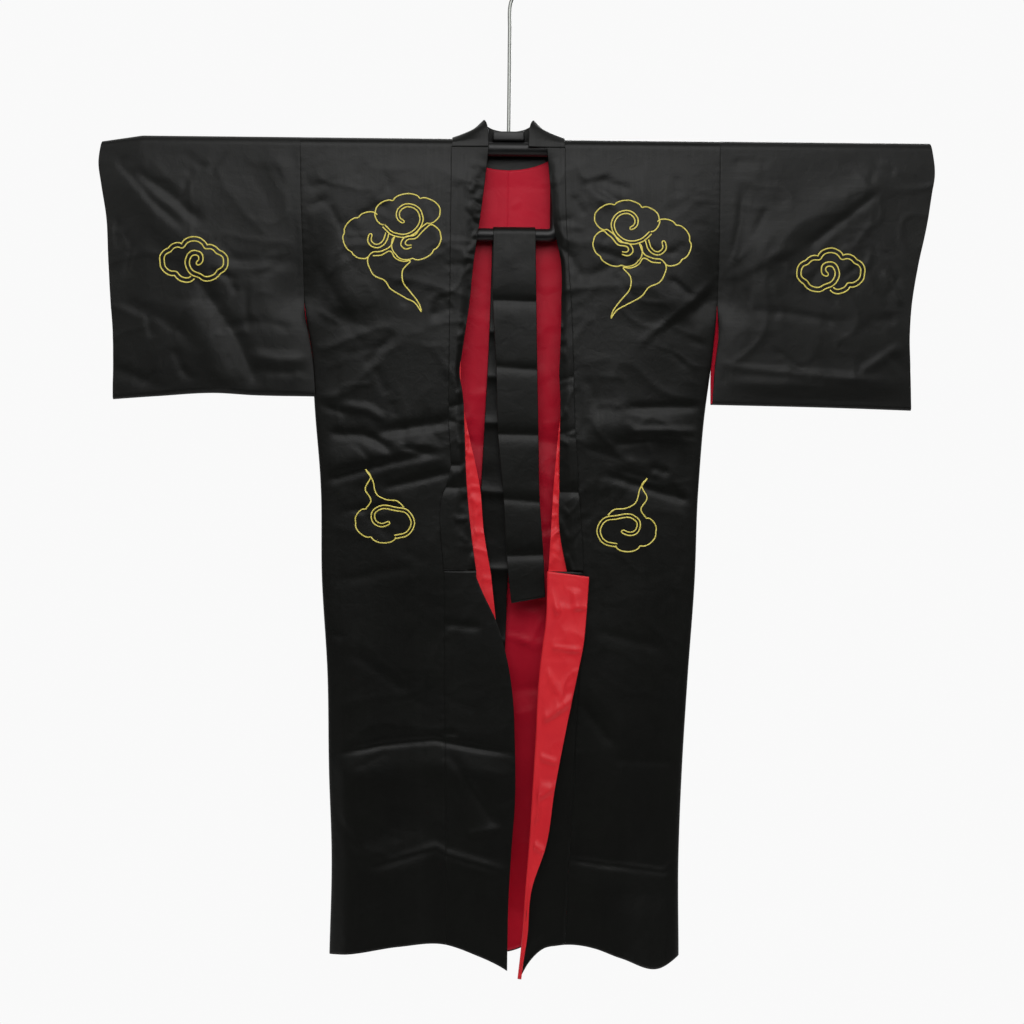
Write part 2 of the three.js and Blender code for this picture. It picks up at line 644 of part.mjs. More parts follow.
// Belt, draped over the bar of the hanger: its edges at each height
const BELT_FRONT = [
  { z: -453, left: -22, right: 45 },
  { z: -540, left: -22, right: 47 },
  { z: -665, left: -15, right: 50 },
  { z: -771, left: -11, right: 53 },
  { z: -875, left: -1, right: 56 },
  { z: -966, left: 5, right: 63 },
  { z: -1045, left: 14, right: 67 },
];
const BELT_REAR = [
  { z: -453, left: -24, right: 43 },
  { z: -618, left: -28, right: 38 },
  { z: -758, left: -34, right: 31 },
  { z: -864, left: -39, right: 24 },
  { z: -991, left: -46, right: 6 },
  { z: -1089, left: -52, right: 3 },
  { z: -1390, left: -62, right: -6 },
];
const BELT_BOW = 0.6; // the middle of the hanging belt stands this far out
const BELT_SLANT = 10; // slant of the front end
const BELT_FRONT_END = -1040;
const BELT_ROWS_FRONT = [-500, -551, -605, -660, -714, -769, -822, -875, -920, -966, -1005, BELT_FRONT_END];
const BELT_ROWS_REAR = [-520, -600, -690, -780, -864, -991, -1089, -1190, -1290, -1390];

function addBelt() {
  const columns = [0, 0.33, 0.67, 1];
  const face = BAR_RADIUS + SEAM + BELT;
  const across = (table, z, share) => {
    const left = lookUp(table, 'z', 'left', z);
    return THREE.MathUtils.lerp(left, lookUp(table, 'z', 'right', z), share);
  };
  const fall = (table, side, rows, name) => {
    const grid = (radius) => [BAR_Z - SEAM, ...rows].map((z) => columns.map((share) => {
      const bow = BELT_BOW * Math.sin(share * Math.PI);
      const slant = z === BELT_FRONT_END ? BELT_SLANT * (share - 0.5) : 0;
      return [across(table, z, share), side * (radius + bow), z + slant];
    }));
    addPiece(name, wall(grid(face), grid(face - BELT)), satin);
  };
  fall(BELT_FRONT, -1, BELT_ROWS_FRONT, 'belt_front');
  fall(BELT_REAR, 1, BELT_ROWS_REAR, 'belt_rear');

  const arch = (radius) => [-90, -67, -45, -22, 0, 22, 45, 67, 90].map((degrees) => {
    const angle = THREE.MathUtils.degToRad(degrees);
    return columns.map((share) => [
      THREE.MathUtils.lerp(
        across(BELT_FRONT, BAR_Z, share),
        across(BELT_REAR, BAR_Z, share),
        degrees / 180 + 0.5,
      ),
      radius * Math.sin(angle),
      BAR_Z + radius * Math.cos(angle),
    ]);
  });
  addPiece('belt_over', wall(arch(face), arch(face - BELT)), satin);
}

// Round bar along a curve, with closed ends
function barAlong(curve, radius, sides, steps) {
  const section = new THREE.Shape();
  section.absarc(0, 0, radius, 0, Math.PI * 2, false);
  return new THREE.ExtrudeGeometry(section, {
    steps,
    curveSegments: sides,
    bevelEnabled: false,
    extrudePath: curve,
  });
}

function addHanger() {
  const profile = [
    new THREE.Vector2(0, POLE_LEFT),
    new THREE.Vector2(POLE_RADIUS - POLE_CHAMFER, POLE_LEFT),
    new THREE.Vector2(POLE_RADIUS, POLE_LEFT + POLE_CHAMFER),
    new THREE.Vector2(POLE_RADIUS, POLE_RIGHT - POLE_CHAMFER),
    new THREE.Vector2(POLE_RADIUS - POLE_CHAMFER, POLE_RIGHT),
    new THREE.Vector2(0, POLE_RIGHT),
  ];
  const pole = new THREE.LatheGeometry(profile, 24);
  pole.rotateZ(-Math.PI / 2);
  pole.translate(0, 0, POLE_Z);
  addPiece('pole', pole, blackPlastic);

  const socket = new THREE.BoxGeometry(SOCKET.width, SOCKET.depth, SOCKET.height);
  socket.translate(0, 0, POLE_Z + POLE_RADIUS + SEAM + SOCKET.height / 2);
  addPiece('hook_socket', socket, blackPlastic);

  const stemFoot = POLE_Z + POLE_RADIUS + SOCKET.height + 2 * SEAM;
  const centreZ = HOOK_WIRE - HOOK_BEND;
  const bend = (degrees) => {
    const angle = THREE.MathUtils.degToRad(degrees);
    return new THREE.Vector3(HOOK_BEND * Math.cos(angle), 0, centreZ + HOOK_BEND * Math.sin(angle));
  };
  const points = [
    new THREE.Vector3(0, 0, stemFoot),
    new THREE.Vector3(0, 0, -180),
    new THREE.Vector3(0, 0, -110),
    new THREE.Vector3(1, 0, -62),
    ...[-35, -5, 25, 55, 90, 125, 155, 190].map(bend),
  ];
  const wire = new THREE.CatmullRomCurve3(points, false, 'centripetal');
  addPiece('hook', barAlong(wire, HOOK_WIRE, 4, 36), steel);

  const armTop = POLE_Z - POLE_RADIUS - SEAM;
  const bar = new THREE.CurvePath();
  const left = [armTop, BAR_Z + BAR_CORNER].map((z) => new THREE.Vector3(-BAR_HALF, 0, z));
  const right = left.map((point) => new THREE.Vector3(BAR_HALF, 0, point.z)).reverse();
  const turn = (a, b, c) => new THREE.QuadraticBezierCurve3(a, b, c);
  const low = (x) => new THREE.Vector3(x, 0, BAR_Z);
  bar.add(new THREE.LineCurve3(left[0], left[1]));
  bar.add(turn(left[1], low(-BAR_HALF), low(BAR_CORNER - BAR_HALF)));
  bar.add(new THREE.LineCurve3(low(BAR_CORNER - BAR_HALF), low(BAR_HALF - BAR_CORNER)));
  bar.add(turn(low(BAR_HALF - BAR_CORNER), low(BAR_HALF), right[0]));
  bar.add(new THREE.LineCurve3(right[0], right[1]));
  addPiece('belt_bar', barAlong(bar, BAR_RADIUS, 6, 30), blackPlastic);
}

addBody();
addFrontCollars();
addBackCollar();
addFacings();
addOverlaps();
addSleeve('sleeve_left', SLEEVE_LEFT);
addSleeve('sleeve_right', SLEEVE_RIGHT);
addBelt();
addHanger();

export default robe;
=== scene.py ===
"""Long black satin robe cut like a kimono, with a red lining and gold cloud embroidery.

It hangs spread out on a straight pole hanger, with its belt over the hanger's lower bar. Sizes
are in millimetres, in the frame of the CAD model: +Z up, the front faces -Y, and the origin is
the inner top of the hook. Meshes are made in metres.
"""
import math

import bmesh
import bpy
import numpy as np
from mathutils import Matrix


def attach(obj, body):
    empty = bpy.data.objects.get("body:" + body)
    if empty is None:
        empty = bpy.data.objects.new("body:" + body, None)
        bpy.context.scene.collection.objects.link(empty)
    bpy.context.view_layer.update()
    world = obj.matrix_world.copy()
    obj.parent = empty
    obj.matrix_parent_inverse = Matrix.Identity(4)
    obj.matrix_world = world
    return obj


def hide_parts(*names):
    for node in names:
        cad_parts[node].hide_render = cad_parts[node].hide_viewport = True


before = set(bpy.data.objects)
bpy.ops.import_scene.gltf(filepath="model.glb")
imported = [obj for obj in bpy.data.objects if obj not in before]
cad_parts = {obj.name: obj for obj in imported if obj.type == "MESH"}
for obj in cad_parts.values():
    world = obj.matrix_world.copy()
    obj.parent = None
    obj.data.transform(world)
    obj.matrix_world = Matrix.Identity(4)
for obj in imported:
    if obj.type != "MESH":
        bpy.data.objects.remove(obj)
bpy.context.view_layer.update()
MM = 0.001


def columns(names, *rows):
    """Named columns of a small table, sorted by the first one."""
    return dict(zip(names.split(), np.array(sorted(rows), float).T))


# Camera, 3 m in front of the cloth, level, with the slight turn of the picture
CAMERA = dict(x=12, y=-3020, z=-896, distance=3000, width=1669, turn=-0.6)
FLOOR_Z, FLOOR_HALF, FLOOR_FRONT, FLOOR_BACK = -2300, 4500, -1100, 1900

# Cloth
SATIN = 0.9  # thickness of a satin panel with what backs it
LINING = 0.5
LINING_INSET = 1.9  # from the satin's outer face to the lining's
LINING_MARGIN = 2.5  # from the hem up to the lining's end
TURNED_INSET = 2.4  # from the turned overlap's satin out to its lining
COLLAR = 2.4
BELT = 2.2
GAP = 0.3  # between pieces that lie on each other
OVER_ROWS = 8  # rows of cloth on each side of the pole's top

# Hanger
POLE_RADIUS, POLE_LEFT, POLE_RIGHT, POLE_Z = 12, -596, 679, -301
WRAP = 16  # outer face of the cloth over the pole, from the pole's axis
SHOULDER_Z = POLE_Z + WRAP
HOOK_WIRE, HOOK_BEND = 3, 22
BAR_Z, BAR_RADIUS, BAR_HALF, BAR_CORNER = -442, 11, 80, 16
SOCKET = dict(width=52, depth=16, height=16)

# Robe
ARMHOLE_Z = -554
COLLAR_END_Z = -992
BODY_FOOT_Z = -1620
SLEEVE_FOOT_Z = -719
SIDE_ROUNDING, SLEEVE_ROUNDING = 220, 90
FRONT_WIDTH, SLEEVE_WIDTH, OVERLAP_WIDTH, COLLAR_WIDTH, BELT_WIDTH = 230, 325, 105, 60, 69
SLEEVE_HEIGHT, SKIRT_HEIGHT = 400, 620
BACK_HALF, BACK_OUTER, NECK_HALF, NECK_FOOT = 343, 248, 92, -430
CUFF_FOLD = 6
TURN_RADIUS, TURN_BEYOND = 1.6, 4.9  # the turned overlap's fold, and how far it is past its line
TIP_X, SEAM_FOOT_X = 34, 104  # on the hem, under that fold and at the overlap's seam

BODY = columns(
    "z side_left seam_left seam_right side_right depth",
    (-285, -340, -92, 92, 346, 16),
    (-301, -340, -92, 92, 346, 16),
    (-380, -338, -92, 93, 346, 19),
    (-490, -334, -92, 99, 346, 21),
    (-554, -332, -92, 104, 345, 21),
    (-636, -321, -92, 108, 338, 22),
    (-746, -312, -92, 112, 325, 23),
    (-845, -303, -92, 119, 318, 23),
    (-862, -302, -98, 120, 317, 23),
    (-1003, -299, -97, 129, 313, 24),
    (-1165, -288, -95, 124, 303, 26),
    (-1320, -284, -92, 118, 295, 28),
    (-1468, -278, -89, 111, 291, 30),
    (-1620, -280, -87, 105, 293, 33),
)
FRONT_HEM = columns(
    "x z",
    (-280, -1623), (-245, -1619), (-164, -1606), (-87, -1598), (-42, -1614), (12, -1640),
    (31, -1654), (42, -1634), (68, -1606), (93, -1600), (155, -1604), (195, -1618),
    (264, -1638), (293, -1619),
)
BACK_HEM = columns(
    "x z", (-280, -1620), (-160, -1600), (-87, -1592), (-40, -1604), (0, -1627), (30, -1621),
    (60, -1602), (100, -1594), (155, -1598), (293, -1617),
)
NECKLINE = columns("x z", (0, -333), (24, -331), (48, -325), (70, -315), (NECK_HALF, POLE_Z))
COLLAR_EDGES = columns(
    "z left right",
    (-301, -33, 64), (-383, -42, 72), (-430, -48, 77), (-490, -56, 89), (-554, -62, 90),
    (-636, -73, 89), (-666, -77, 88), (-708, -71, 90), (-760, -68, 90), (-845, -64, 90),
    (-926, -56, 91), (-1003, -45, 106),
)
FACING_EDGES = columns(
    "z left right",
    (-700, -74, 93), (-760, -62, 87), (-862, -40, 79), (-926, -34, 76), (-1000, -21, 72),
)
OVERLAP = columns(
    "z left fold free",
    (-1003, -45, 69, 138), (-1024, -36, 69, 137), (-1076, -11, 68, 134), (-1121, 3, 63, 130),
    (-1170, 13, 58, 121), (-1282, 21, 53, 100), (-1363, 22, 49, 86), (-1458, 16, 44, 72),
    (-1523, 13, 39, 50), (-1600, 12, 34, 43), (-1656, 12, 27, 31),
)
COLLAR_BACK = (  # seam edge and free edge, from the left shoulder to the centre of the neck
    ((-91.4, -15, -300), (-33.5, -16.6, -300.4)),
    ((-91.2, -13, -291), (-34, -13, -284)),
    ((-91, -1, -283.6), (-36, -7, -264)),
    ((-91, 12.6, -292), (-40, 2, -254)),
    ((-84, 15.4, -302), (-42, 7, -256)),
    ((-60, 15.6, -317.5), (-38, 10, -261)),
    ((-32, 16, -327.4), (-24, 12, -268)),
    ((0, 16.2, -331.2), (0, 13.4, -271)),
)
SLEEVES = {
    "left": dict(
        sign=-1,
        armhole="side_left",
        open=columns("z front back", (-554, -332, -332), (-580, -330, -329), (-606, -324, -326),
                     (-650, -316.5, -321.5), (-719, -311.5, -316)),
        cuff=columns("z x", (-285, -664), (-333, -670), (-367, -665), (-421, -656),
                     (-490, -652), (-554, -648), (-606, -644), (-719, -644)),
        fold=columns("x z", (-670, -720), (-570, -712), (-476, -706), (-414, -709),
                     (-317, -710)),
    ),
    "right": dict(
        sign=1,
        armhole="side_right",
        open=columns("z front back", (-554, 345, 345), (-606, 347, 341), (-650, 342, 336.5),
                     (-719, 338, 336)),
        cuff=columns("z x", (-285, 690), (-340, 696), (-367, 692), (-421, 684), (-490, 670),
                     (-554, 661), (-606, 659), (-650, 661), (-719, 664)),
        fold=columns("x z", (338, -717), (542, -720), (696, -724)),
    ),
}
DROOP = dict(start=-600, end=-664, drop=10, wrap=10)  # left sleeve, past the pole's end
SLEEVE_DEPTH = columns("z depth", (-301, 16), (-400, 18), (-550, 15), (-650, 11), (-712, 6))
BELT_FRONT = columns(
    "z left right",
    (-453, -22, 45), (-540, -22, 47), (-665, -15, 50), (-771, -11, 53), (-875, -1, 56),
    (-966, 5, 63), (-1045, 14, 67),
)
BELT_REAR = columns(
    "z left right",
    (-453, -24, 43), (-618, -28, 38), (-758, -34, 31), (-864, -39, 24), (-991, -46, 6),
    (-1089, -52, 3), (-1390, -62, -6),
)

# Folds that run down the body and grow towards the hem: side, x, width, top, height
HEM_FOLDS = (
    (-1, -245, 45, -1000, 7), (-1, -170, 55, -900, -6), (-1, -88, 50, -1100, 9),
    (-1, 5, 40, -1150, 6), (-1, 120, 50, -1100, -5), (-1, 185, 45, -1000, 8),
    (-1, 255, 40, -950, -4), (1, -220, 55, -900, 9), (1, -110, 50, -1000, -6),
    (1, -10, 60, -900, 8), (1, 100, 50, -1100, -5), (1, 200, 60, -950, 9),
)
HEM_FOLD_GROWTH = 450

# Creases by side: width, height, skew (one flank steeper, with a trough beside it), points (x, z)
LARGE_CREASES = {
    -1: (
        (26, 3, 0, (-643, -341), (-453, -530)),
        (26, 4, 0, (-532, -545), (-438, -714)),
        (22, 3, 0, (-388, -300), (-335, -430)),
        (26, 3, 0, (610, -345), (390, -485)),
        (26, 4, 0, (380, -690), (650, -688)),
        (26, 4, 0, (-310, -822), (-105, -795)),
        (26, 3, 0, (-290, -1332), (-110, -1308), (15, -1330)),
        (24, 2.5, 0, (-230, -1470), (-110, -1436)),
        (26, 4, 0, (130, -757), (300, -755)),
        (26, 2.5, 0, (110, -1502), (270, -1516)),
    ),
    1: (
        (30, 4, 0, (-300, -790), (300, -775)),
        (30, 4, 0, (-280, -1180), (290, -1195)),
        (28, 5, 0, (600, -380), (400, -540)),
        (28, 5, 0, (-620, -370), (-430, -560)),
    ),
}
FINE_CREASES = {
    -1: (
        # Left sleeve
        (7, -2.2, -0.6, (-640, -330), (-573, -404), (-529, -441)),
        (9, -2.6, -0.6, (-614, -345), (-551, -388), (-501, -432)),
        (12, -3.2, -0.6, (-508, -525), (-445, -616), (-405, -706)),
        (5, -1.6, 0.0, (-466, -506), (-440, -545)),
        (8, -1.2, 0.5, (-470, -488), (-346, -486)),
        (12, 2.2, 1.0, (-420, -640), (-372, -648), (-316, -646)),
        (10, -2.2, 0.0, (-410, -668), (-360, -670), (-316, -662)),
        (10, -1.8, 0.5, (-648, -660), (-600, -682), (-552, -708)),
        (9, -1.4, 0.5, (-470, -600), (-400, -585), (-350, -600)),
        (10, -1.4, -0.6, (-630, -560), (-560, -590), (-500, -640)),
        (5, -1.4, 0.3, (-532, -664), (-508, -685)),
        (6, -1.8, 0.5, (-395, -294), (-357, -375), (-346, -452), (-340, -571)),
        (5, -1.5, -0.6, (-358, -313), (-323, -375)),
        (5, 1.2, 0.6, (-399, -289), (-360, -364), (-337, -554)),
        (6, -1.3, 0.4, (-640, -420), (-610, -470), (-622, -520)),
        # Left front
        (10, -1.4, 0.5, (-312, -490), (-249, -594)),
        (8, 1.6, 0.9, (-267, -721), (-223, -728), (-195, -745)),
        (9, -2.8, -0.8, (-210, -773), (-150, -763), (-88, -753)),
        (7, -2.6, -0.5, (-288, -773), (-232, -775), (-202, -789), (-180, -805)),
        (6, -2.4, -0.4, (-170, -793), (-120, -803)),
        (8, -2.8, -0.6, (-303, -853), (-192, -821), (-100, -801)),
        (6, -2.0, -0.5, (-196, -861), (-88, -834)),
        (6, -1.0, -0.5, (-266, -900), (-170, -890)),
        (5, -2.2, -0.7, (-272, -1296), (-194, -1280), (-110, -1270), (-39, -1283), (21, -1291)),
        (5, -1.4, -0.6, (-98, -1258), (-72, -1259)),
        (8, 2.0, 0.9, (-209, -1474), (-106, -1437), (-87, -1448), (12, -1477)),
        (6, 1.3, -0.8, (-54, -1423), (1, -1411)),
        (8, -1.5, 0.5, (-282, -1376), (-228, -1452)),
        (8, -1.8, -0.5, (-87, -1290), (-9, -1410)),
        (6, -1.4, -0.6, (-98, -1082), (-37, -1087)),
        (5, -1.1, -0.5, (-299, -1100), (-262, -1104)),
        (8, -0.8, 0.5, (-280, -1010), (-150, -985)),
        (9, -0.8, -0.5, (-250, -1130), (-160, -1190)),
        # Right sleeve and front
        (9, 1.6, 0.8, (104, -299), (145, -375), (178, -394)),
        (7, 1.8, 0.9, (399, -459), (310, -545), (219, -623)),
        (7, -1.5, -0.5, (372, -505), (300, -570)),
        (6, -2.6, 0.0, (604, -369), (545, -415), (486, -460)),
        (9, 1.4, 0.8, (476, -458), (352, -521)),
        (6, -1.8, 0.0, (366, -319), (426, -322)),
        (6, -2.0, 0.3, (385, -366), (381, -420), (364, -505)),
        (7, 1.9, 1.0, (358, -651), (606, -672)),
        (10, 1.4, -0.9, (365, -684), (610, -709)),
        (8, 1.7, 0.9, (574, -662), (645, -614)),
        (6, 1.7, 0.8, (616, -496), (646, -552)),
        (6, -1.4, 0.4, (430, -560), (520, -575), (560, -600)),
        (7, -2.2, -0.6, (190, -729), (325, -722)),
        (6, 1.8, 0.9, (208, -759), (320, -758)),
        (6, -1.4, -0.5, (178, -786), (252, -776)),
        (6, -1.6, -0.5, (238, -823), (266, -831)),
        (7, -2.4, -0.6, (166, -837), (232, -858), (312, -880)),
        (8, -1.1, 0.5, (126, -1202), (182, -1273)),
        (7, -1.0, -0.5, (184, -1299), (280, -1304)),
        (5, -1.8, -0.6, (108, -1462), (200, -1472), (268, -1484), (291, -1458)),
        (8, -0.8, -0.5, (150, -1090), (260, -1120)),
    ),
    1: (
        (8, 2.0, 0.9, (-296, -800), (-120, -772), (-15, -780)),
        (7, 1.7, -0.8, (-270, -838), (-150, -826)),
        (8, 1.9, 0.9, (20, -768), (160, -790), (306, -778)),
        (7, 1.4, 0.8, (90, -842), (230, -830)),
        (8, 2.2, 0.9, (-282, -1189), (-90, -1170), (-8, -1186)),
        (7, 1.8, -0.8, (10, -1196), (150, -1178), (290, -1200)),
        (8, 1.6, 0.8, (-262, -1420), (-120, -1452), (-12, -1436)),
        (8, 1.8, 0.9, (22, -1410), (140, -1442), (278, -1428)),
        (9, 1.8, 0.8, (-626, -356), (-520, -465), (-430, -566)),
        (9, 1.8, 0.8, (622, -360), (500, -470), (398, -548)),
        (8, 1.6, -0.7, (-390, -300), (-352, -420), (-340, -540)),
        (8, 1.5, 0.7, (392, -306), (360, -430), (350, -530)),
        (9, 1.3, 0.7, (-300, -380), (-200, -470)),
        (9, 1.3, 0.7, (300, -392), (190, -480)),
        (10, 2.0, 0.9, (-610, -662), (-470, -676), (-360, -660)),
        (10, 2.0, 0.9, (380, -668), (500, -690), (640, -662)),
        (8, -1.2, -0.6, (-180, -980), (-60, -1010)),
        (8, -1.2, -0.6, (60, -990), (200, -960)),
    ),
}
# Heights of the folds pressed across each collar, and of the deeper one across both
COLLAR_FOLDS = {"left": (-703, -767, -801, -838), "right": (-703, -752, -790)}
PACKING_Z = -860
# Creases of the turned-out flap
FLAP_CREASES = (
    (6, 1.6, 0.8, (74, -1018), (92, -1062)),
    (7, 1.5, -0.8, (113, -1022), (118, -1056)),
    (5, 1.3, 0.8, (76, -1112), (128, -1118)),
    (6, 1.2, 0.8, (72, -1150), (96, -1192), (86, -1226)),
    (6, 1.6, -0.8, (66, -1236), (98, -1214), (116, -1196)),
    (5, 1.3, 0.8, (60, -1290), (92, -1300)),
    (5, 1.2, -0.7, (58, -1362), (84, -1344)),
    (5, 1.2, 0.8, (54, -1432), (72, -1446)),
    (5, 1.0, 0.8, (50, -1520), (62, -1508)),
)
# Creases of the back's lining, seen in the opening
LINING_CREASES = (
    (5, 1.6, 0.8, (0, -1098), (40, -1106), (72, -1114)),
    (4, 1.1, -0.8, (46, -1112), (66, -1070)),
    (4, 1.2, 0.8, (30, -1104), (60, -1124)),
    (6, 1.2, 0.8, (24, -1052), (60, -1064)),
    (5, 1.0, 0.7, (18, -1230), (52, -1222)),
    (5, 1.2, 0.8, (28, -1446), (52, -1441)),
    (5, 1.0, 0.7, (14, -1548), (40, -1560)),
    (4, 0.7, 0.8, (8, -392), (18, -380)),
    (5, 0.9, 0.7, (-30, -700), (-60, -708)),
    (5, 0.9, 0.7, (60, -752), (90, -744)),
)


def lerp(start, end, share):
    """Value a share of the way from start to end."""
    return start + (end - start) * share


def ramp(share):
    """Smooth step from 0 to 1."""
    share = np.clip(share, 0, 1)
    return share * share * (3 - 2 * share)


def across(table, name, at):
    """A table's column at a key, on a smooth curve through the rows (Hermite, mean slopes)."""
    keys = next(iter(table.values()))
    values = table[name]
    slopes = np.gradient(values, keys)
    i = np.clip(np.searchsorted(keys, at) - 1, 0, len(keys) - 2)
    span = keys[i + 1] - keys[i]
    t = np.clip((at - keys[i]) / span, 0, 1)
    rise = t * t * (3 - 2 * t)
    bend = t * (1 - t) * span * ((1 - t) * slopes[i] - t * slopes[i + 1])
    return lerp(values[i], values[i + 1], rise) + bend


def rounding(distance, full):
    """Quarter ellipse, from 0 at the edge to 1 at the full distance."""
    rest = 1 - np.clip(distance / full, 0, 1)
    return np.sqrt(1 - rest * rest)


def noise(x, z, size, seed):
    """Smooth random heights from -1 to 1, one for each lattice cell of a size, eased between."""
    lattice = np.random.default_rng(seed).uniform(-1, 1, (64, 64))
    u, v = x / size + 500, z / size + 500
    i, j = np.floor(u).astype(int), np.floor(v).astype(int)
    s, t = (f ** 3 * (f * (f * 6 - 15) + 10) for f in (u - i, v - j))
    low = lerp(lattice[i % 64, j % 64], lattice[(i + 1) % 64, j % 64], s)
    high = lerp(lattice[i % 64, (j + 1) % 64], lattice[(i + 1) % 64, (j + 1) % 64], s)
    return lerp(low, high, t)


def crumple(x, z, size, seed):
    """Network of soft ridges, where a smooth noise crosses zero."""
    bend = noise(z, x, size * 1.7, seed + 1) * size * 0.6
    return (1 - np.abs(noise(x + bend, z - bend, size, seed))) ** 4


def crease_relief(creases, x, z, crisp=True):
    """Sum of ridges along lines: each falls off across its line and fades at its ends. A crisp
    one has a narrow crest with almost flat flanks; the others are bells."""
    total = np.zeros_like(x)
    for width, height, skew, *points in creases:
        corners = np.array(points, float)
        low, high = corners.min(0) - 3.2 * width, corners.max(0) + 3.2 * width
        near = (x > low[0]) & (x < high[0]) & (z > low[1]) & (z < high[1])
        if not near.any():
            continue
        px, pz = x[near], z[near]
        steps = np.diff(corners, axis=0)
        lengths = np.hypot(*steps.T)
        whole, run = lengths.sum(), 0.0
        nearest = np.full_like(px, 1e9)
        signed, along = np.zeros_like(px), np.zeros_like(px)
        for (cx, cz), (dx, dz), length in zip(corners, steps, lengths):
            share = ((px - cx) * dx + (pz - cz) * dz) / length**2
            held = np.clip(share, 0, 1)
            distance = np.hypot(px - cx - held * dx, pz - cz - held * dz)
            side = ((px - cx) * dz - (pz - cz) * dx) / length
            closer = distance < nearest
            nearest = np.where(closer, distance, nearest)
            signed = np.where(closer, side, signed)
            along = np.where(closer, (run + share * length) / whole, along)
            run += length
        ends = ramp(along * 4 + 0.3) * ramp((1 - along) * 4 + 0.3)
        if crisp:
            bell = np.exp(-(((np.hypot(nearest, 1.5) - 1.5) / width) ** 1.5))
        else:
            bell = np.exp(-((nearest / width) ** 2))
        total[near] += height * ends * bell * (1 + skew * np.clip(signed / width, -1.2, 1.2))
    return total


def crinkles(count, x_range, z_range, seed, lengths=(7, 22), widths=(3.5, 6), heights=(0.4, 1.0)):
    """Seeded short creases in a rectangle, in any direction."""
    rng = np.random.default_rng(seed)
    made = []
    for _ in range(count):
        x, z = rng.uniform(*x_range), rng.uniform(*z_range)
        angle, length = rng.uniform(0, math.pi), rng.uniform(*lengths)
        dx, dz = length * math.cos(angle), length * math.sin(angle)
        made.append((rng.uniform(*widths), rng.uniform(*heights), rng.uniform(-0.9, 0.9),
                     (x - dx, z - dz), (x + dx, z + dz)))
    return made


# Fields of short seeded creases: x range, z range, count
CRINKLED = (
    ((-650, -330), (-700, -310), 60),
    ((-330, 330), (-700, -310), 110),
    ((330, 680), (-700, -310), 60),
    ((-300, 320), (-1000, -700), 60),
    ((-290, 300), (-1600, -1000), 45),
)


def small_creases(side):
    """The short creases of the front (-1) or the back (1), field by field."""
    made = []
    for i, (x_range, z_range, count) in enumerate(CRINKLED):
        made += crinkles(count, x_range, z_range, 80 + 10 * i + side, (12, 42), (4, 8), (-1.3, 0.7))
    return made


SMALL_CREASES = {side: small_creases(side) for side in (-1, 1)}


def fold_line(distance, depth, above=11, below=7):
    """A crease pressed inward across the cloth: a longer slope above it and a short one below."""
    return -depth * np.exp(-np.where(distance > 0, distance / above, -distance / below))


def relief(x, z, side):
    """How far folds, creases and the cloth's own waves push it outward."""
    total = crease_relief(LARGE_CREASES[side], x, z, crisp=False)
    total += crease_relief(FINE_CREASES[side], x, z)
    for fold_side, fold_x, width, top, height in HEM_FOLDS:
        if fold_side == side:
            bell = np.exp(-(((x - fold_x) / width) ** 2))
            total += height * ramp((top - z) / HEM_FOLD_GROWTH) * bell
    # Waves of two sizes, and crumples that are stronger above the skirt
    seed = 20 + side
    total += 1.3 * noise(x, z * 0.8, 130, seed) + 0.5 * noise(x, z, 52, seed + 5)
    upper = 0.4 + 0.6 * ramp((z + 1050) / 300)
    total += upper * (1.3 * crumple(x, z, 95, seed + 9) + 0.8 * crumple(x, z, 48, seed + 13))
    return total + upper * crease_relief(SMALL_CREASES[side], x, z)


def armhole_depth(z):
    """Half depth along the armhole's seam: round the pole above, down to one cloth's wall below."""
    share = np.clip((POLE_Z - z) / (POLE_Z - ARMHOLE_Z), 0, 1)
    return lerp(WRAP, SATIN, ramp(share**2.2))


def join_profile(inset, z, full):
    """Share of the full depth near a side: an easy slope along the armhole's seam, where body and
    sleeve are one smooth cloth, and a round edge below it."""
    return lerp(ramp(inset / 70), rounding(inset, full), ramp((ARMHOLE_Z + 10 - z) / 50))


def body_depth(x, z, side):
    """Half depth of the body: none at the side seams, rounding to the full depth, plus relief."""
    edge = armhole_depth(z)
    inset = np.minimum(x - across(BODY, "side_left", z), across(BODY, "side_right", z) - x)
    full = across(BODY, "depth", z)
    ease = ramp((POLE_Z - z) / 60) * ramp(inset / 30)
    return edge + (full - edge) * join_profile(inset, z, SIDE_ROUNDING) + ease * relief(x, z, side)


def sleeve_depth(x, z, side, inner):
    """Half depth of a sleeve, round the pole above and down to the fold below."""
    full = across(SLEEVE_DEPTH, "depth", z)
    parted = ramp((ARMHOLE_Z - z) / 60)
    opened = lerp(SATIN, np.minimum(CUFF_FOLD, full), parted)
    edge = np.where(z > ARMHOLE_Z, armhole_depth(z), opened)
    inset = np.abs(x - inner)
    ease = ramp((POLE_Z - z) / 40) * ramp(inset / 30) * ramp((z + 712) / 40)
    profile = join_profile(inset, z, SLEEVE_ROUNDING)
    return edge + (full - edge) * profile + ease * relief(x, z, side)


def seam_roll(distance, z):
    """Cloth turns in at a seam, with small puckers along the stitching."""
    pucker = np.sin(z / 2.3 + 3 * np.sin(z / 31))
    return -0.45 * np.exp(-((distance / 1.4) ** 2)) + 0.16 * pucker * np.exp(-((distance / 6) ** 2))


def spread(width, cell, rims=(0.7, 1.6, 3.0)):
    """Shares across a panel: even steps, with finer ones along both edges."""
    inner = np.linspace(rims[-1], width - rims[-1], max(3, round((width - 2 * rims[-1]) / cell)))
    rims = np.array(rims[:-1])
    return np.concatenate([[0], rims, inner, width - rims[::-1], [width]]) / width


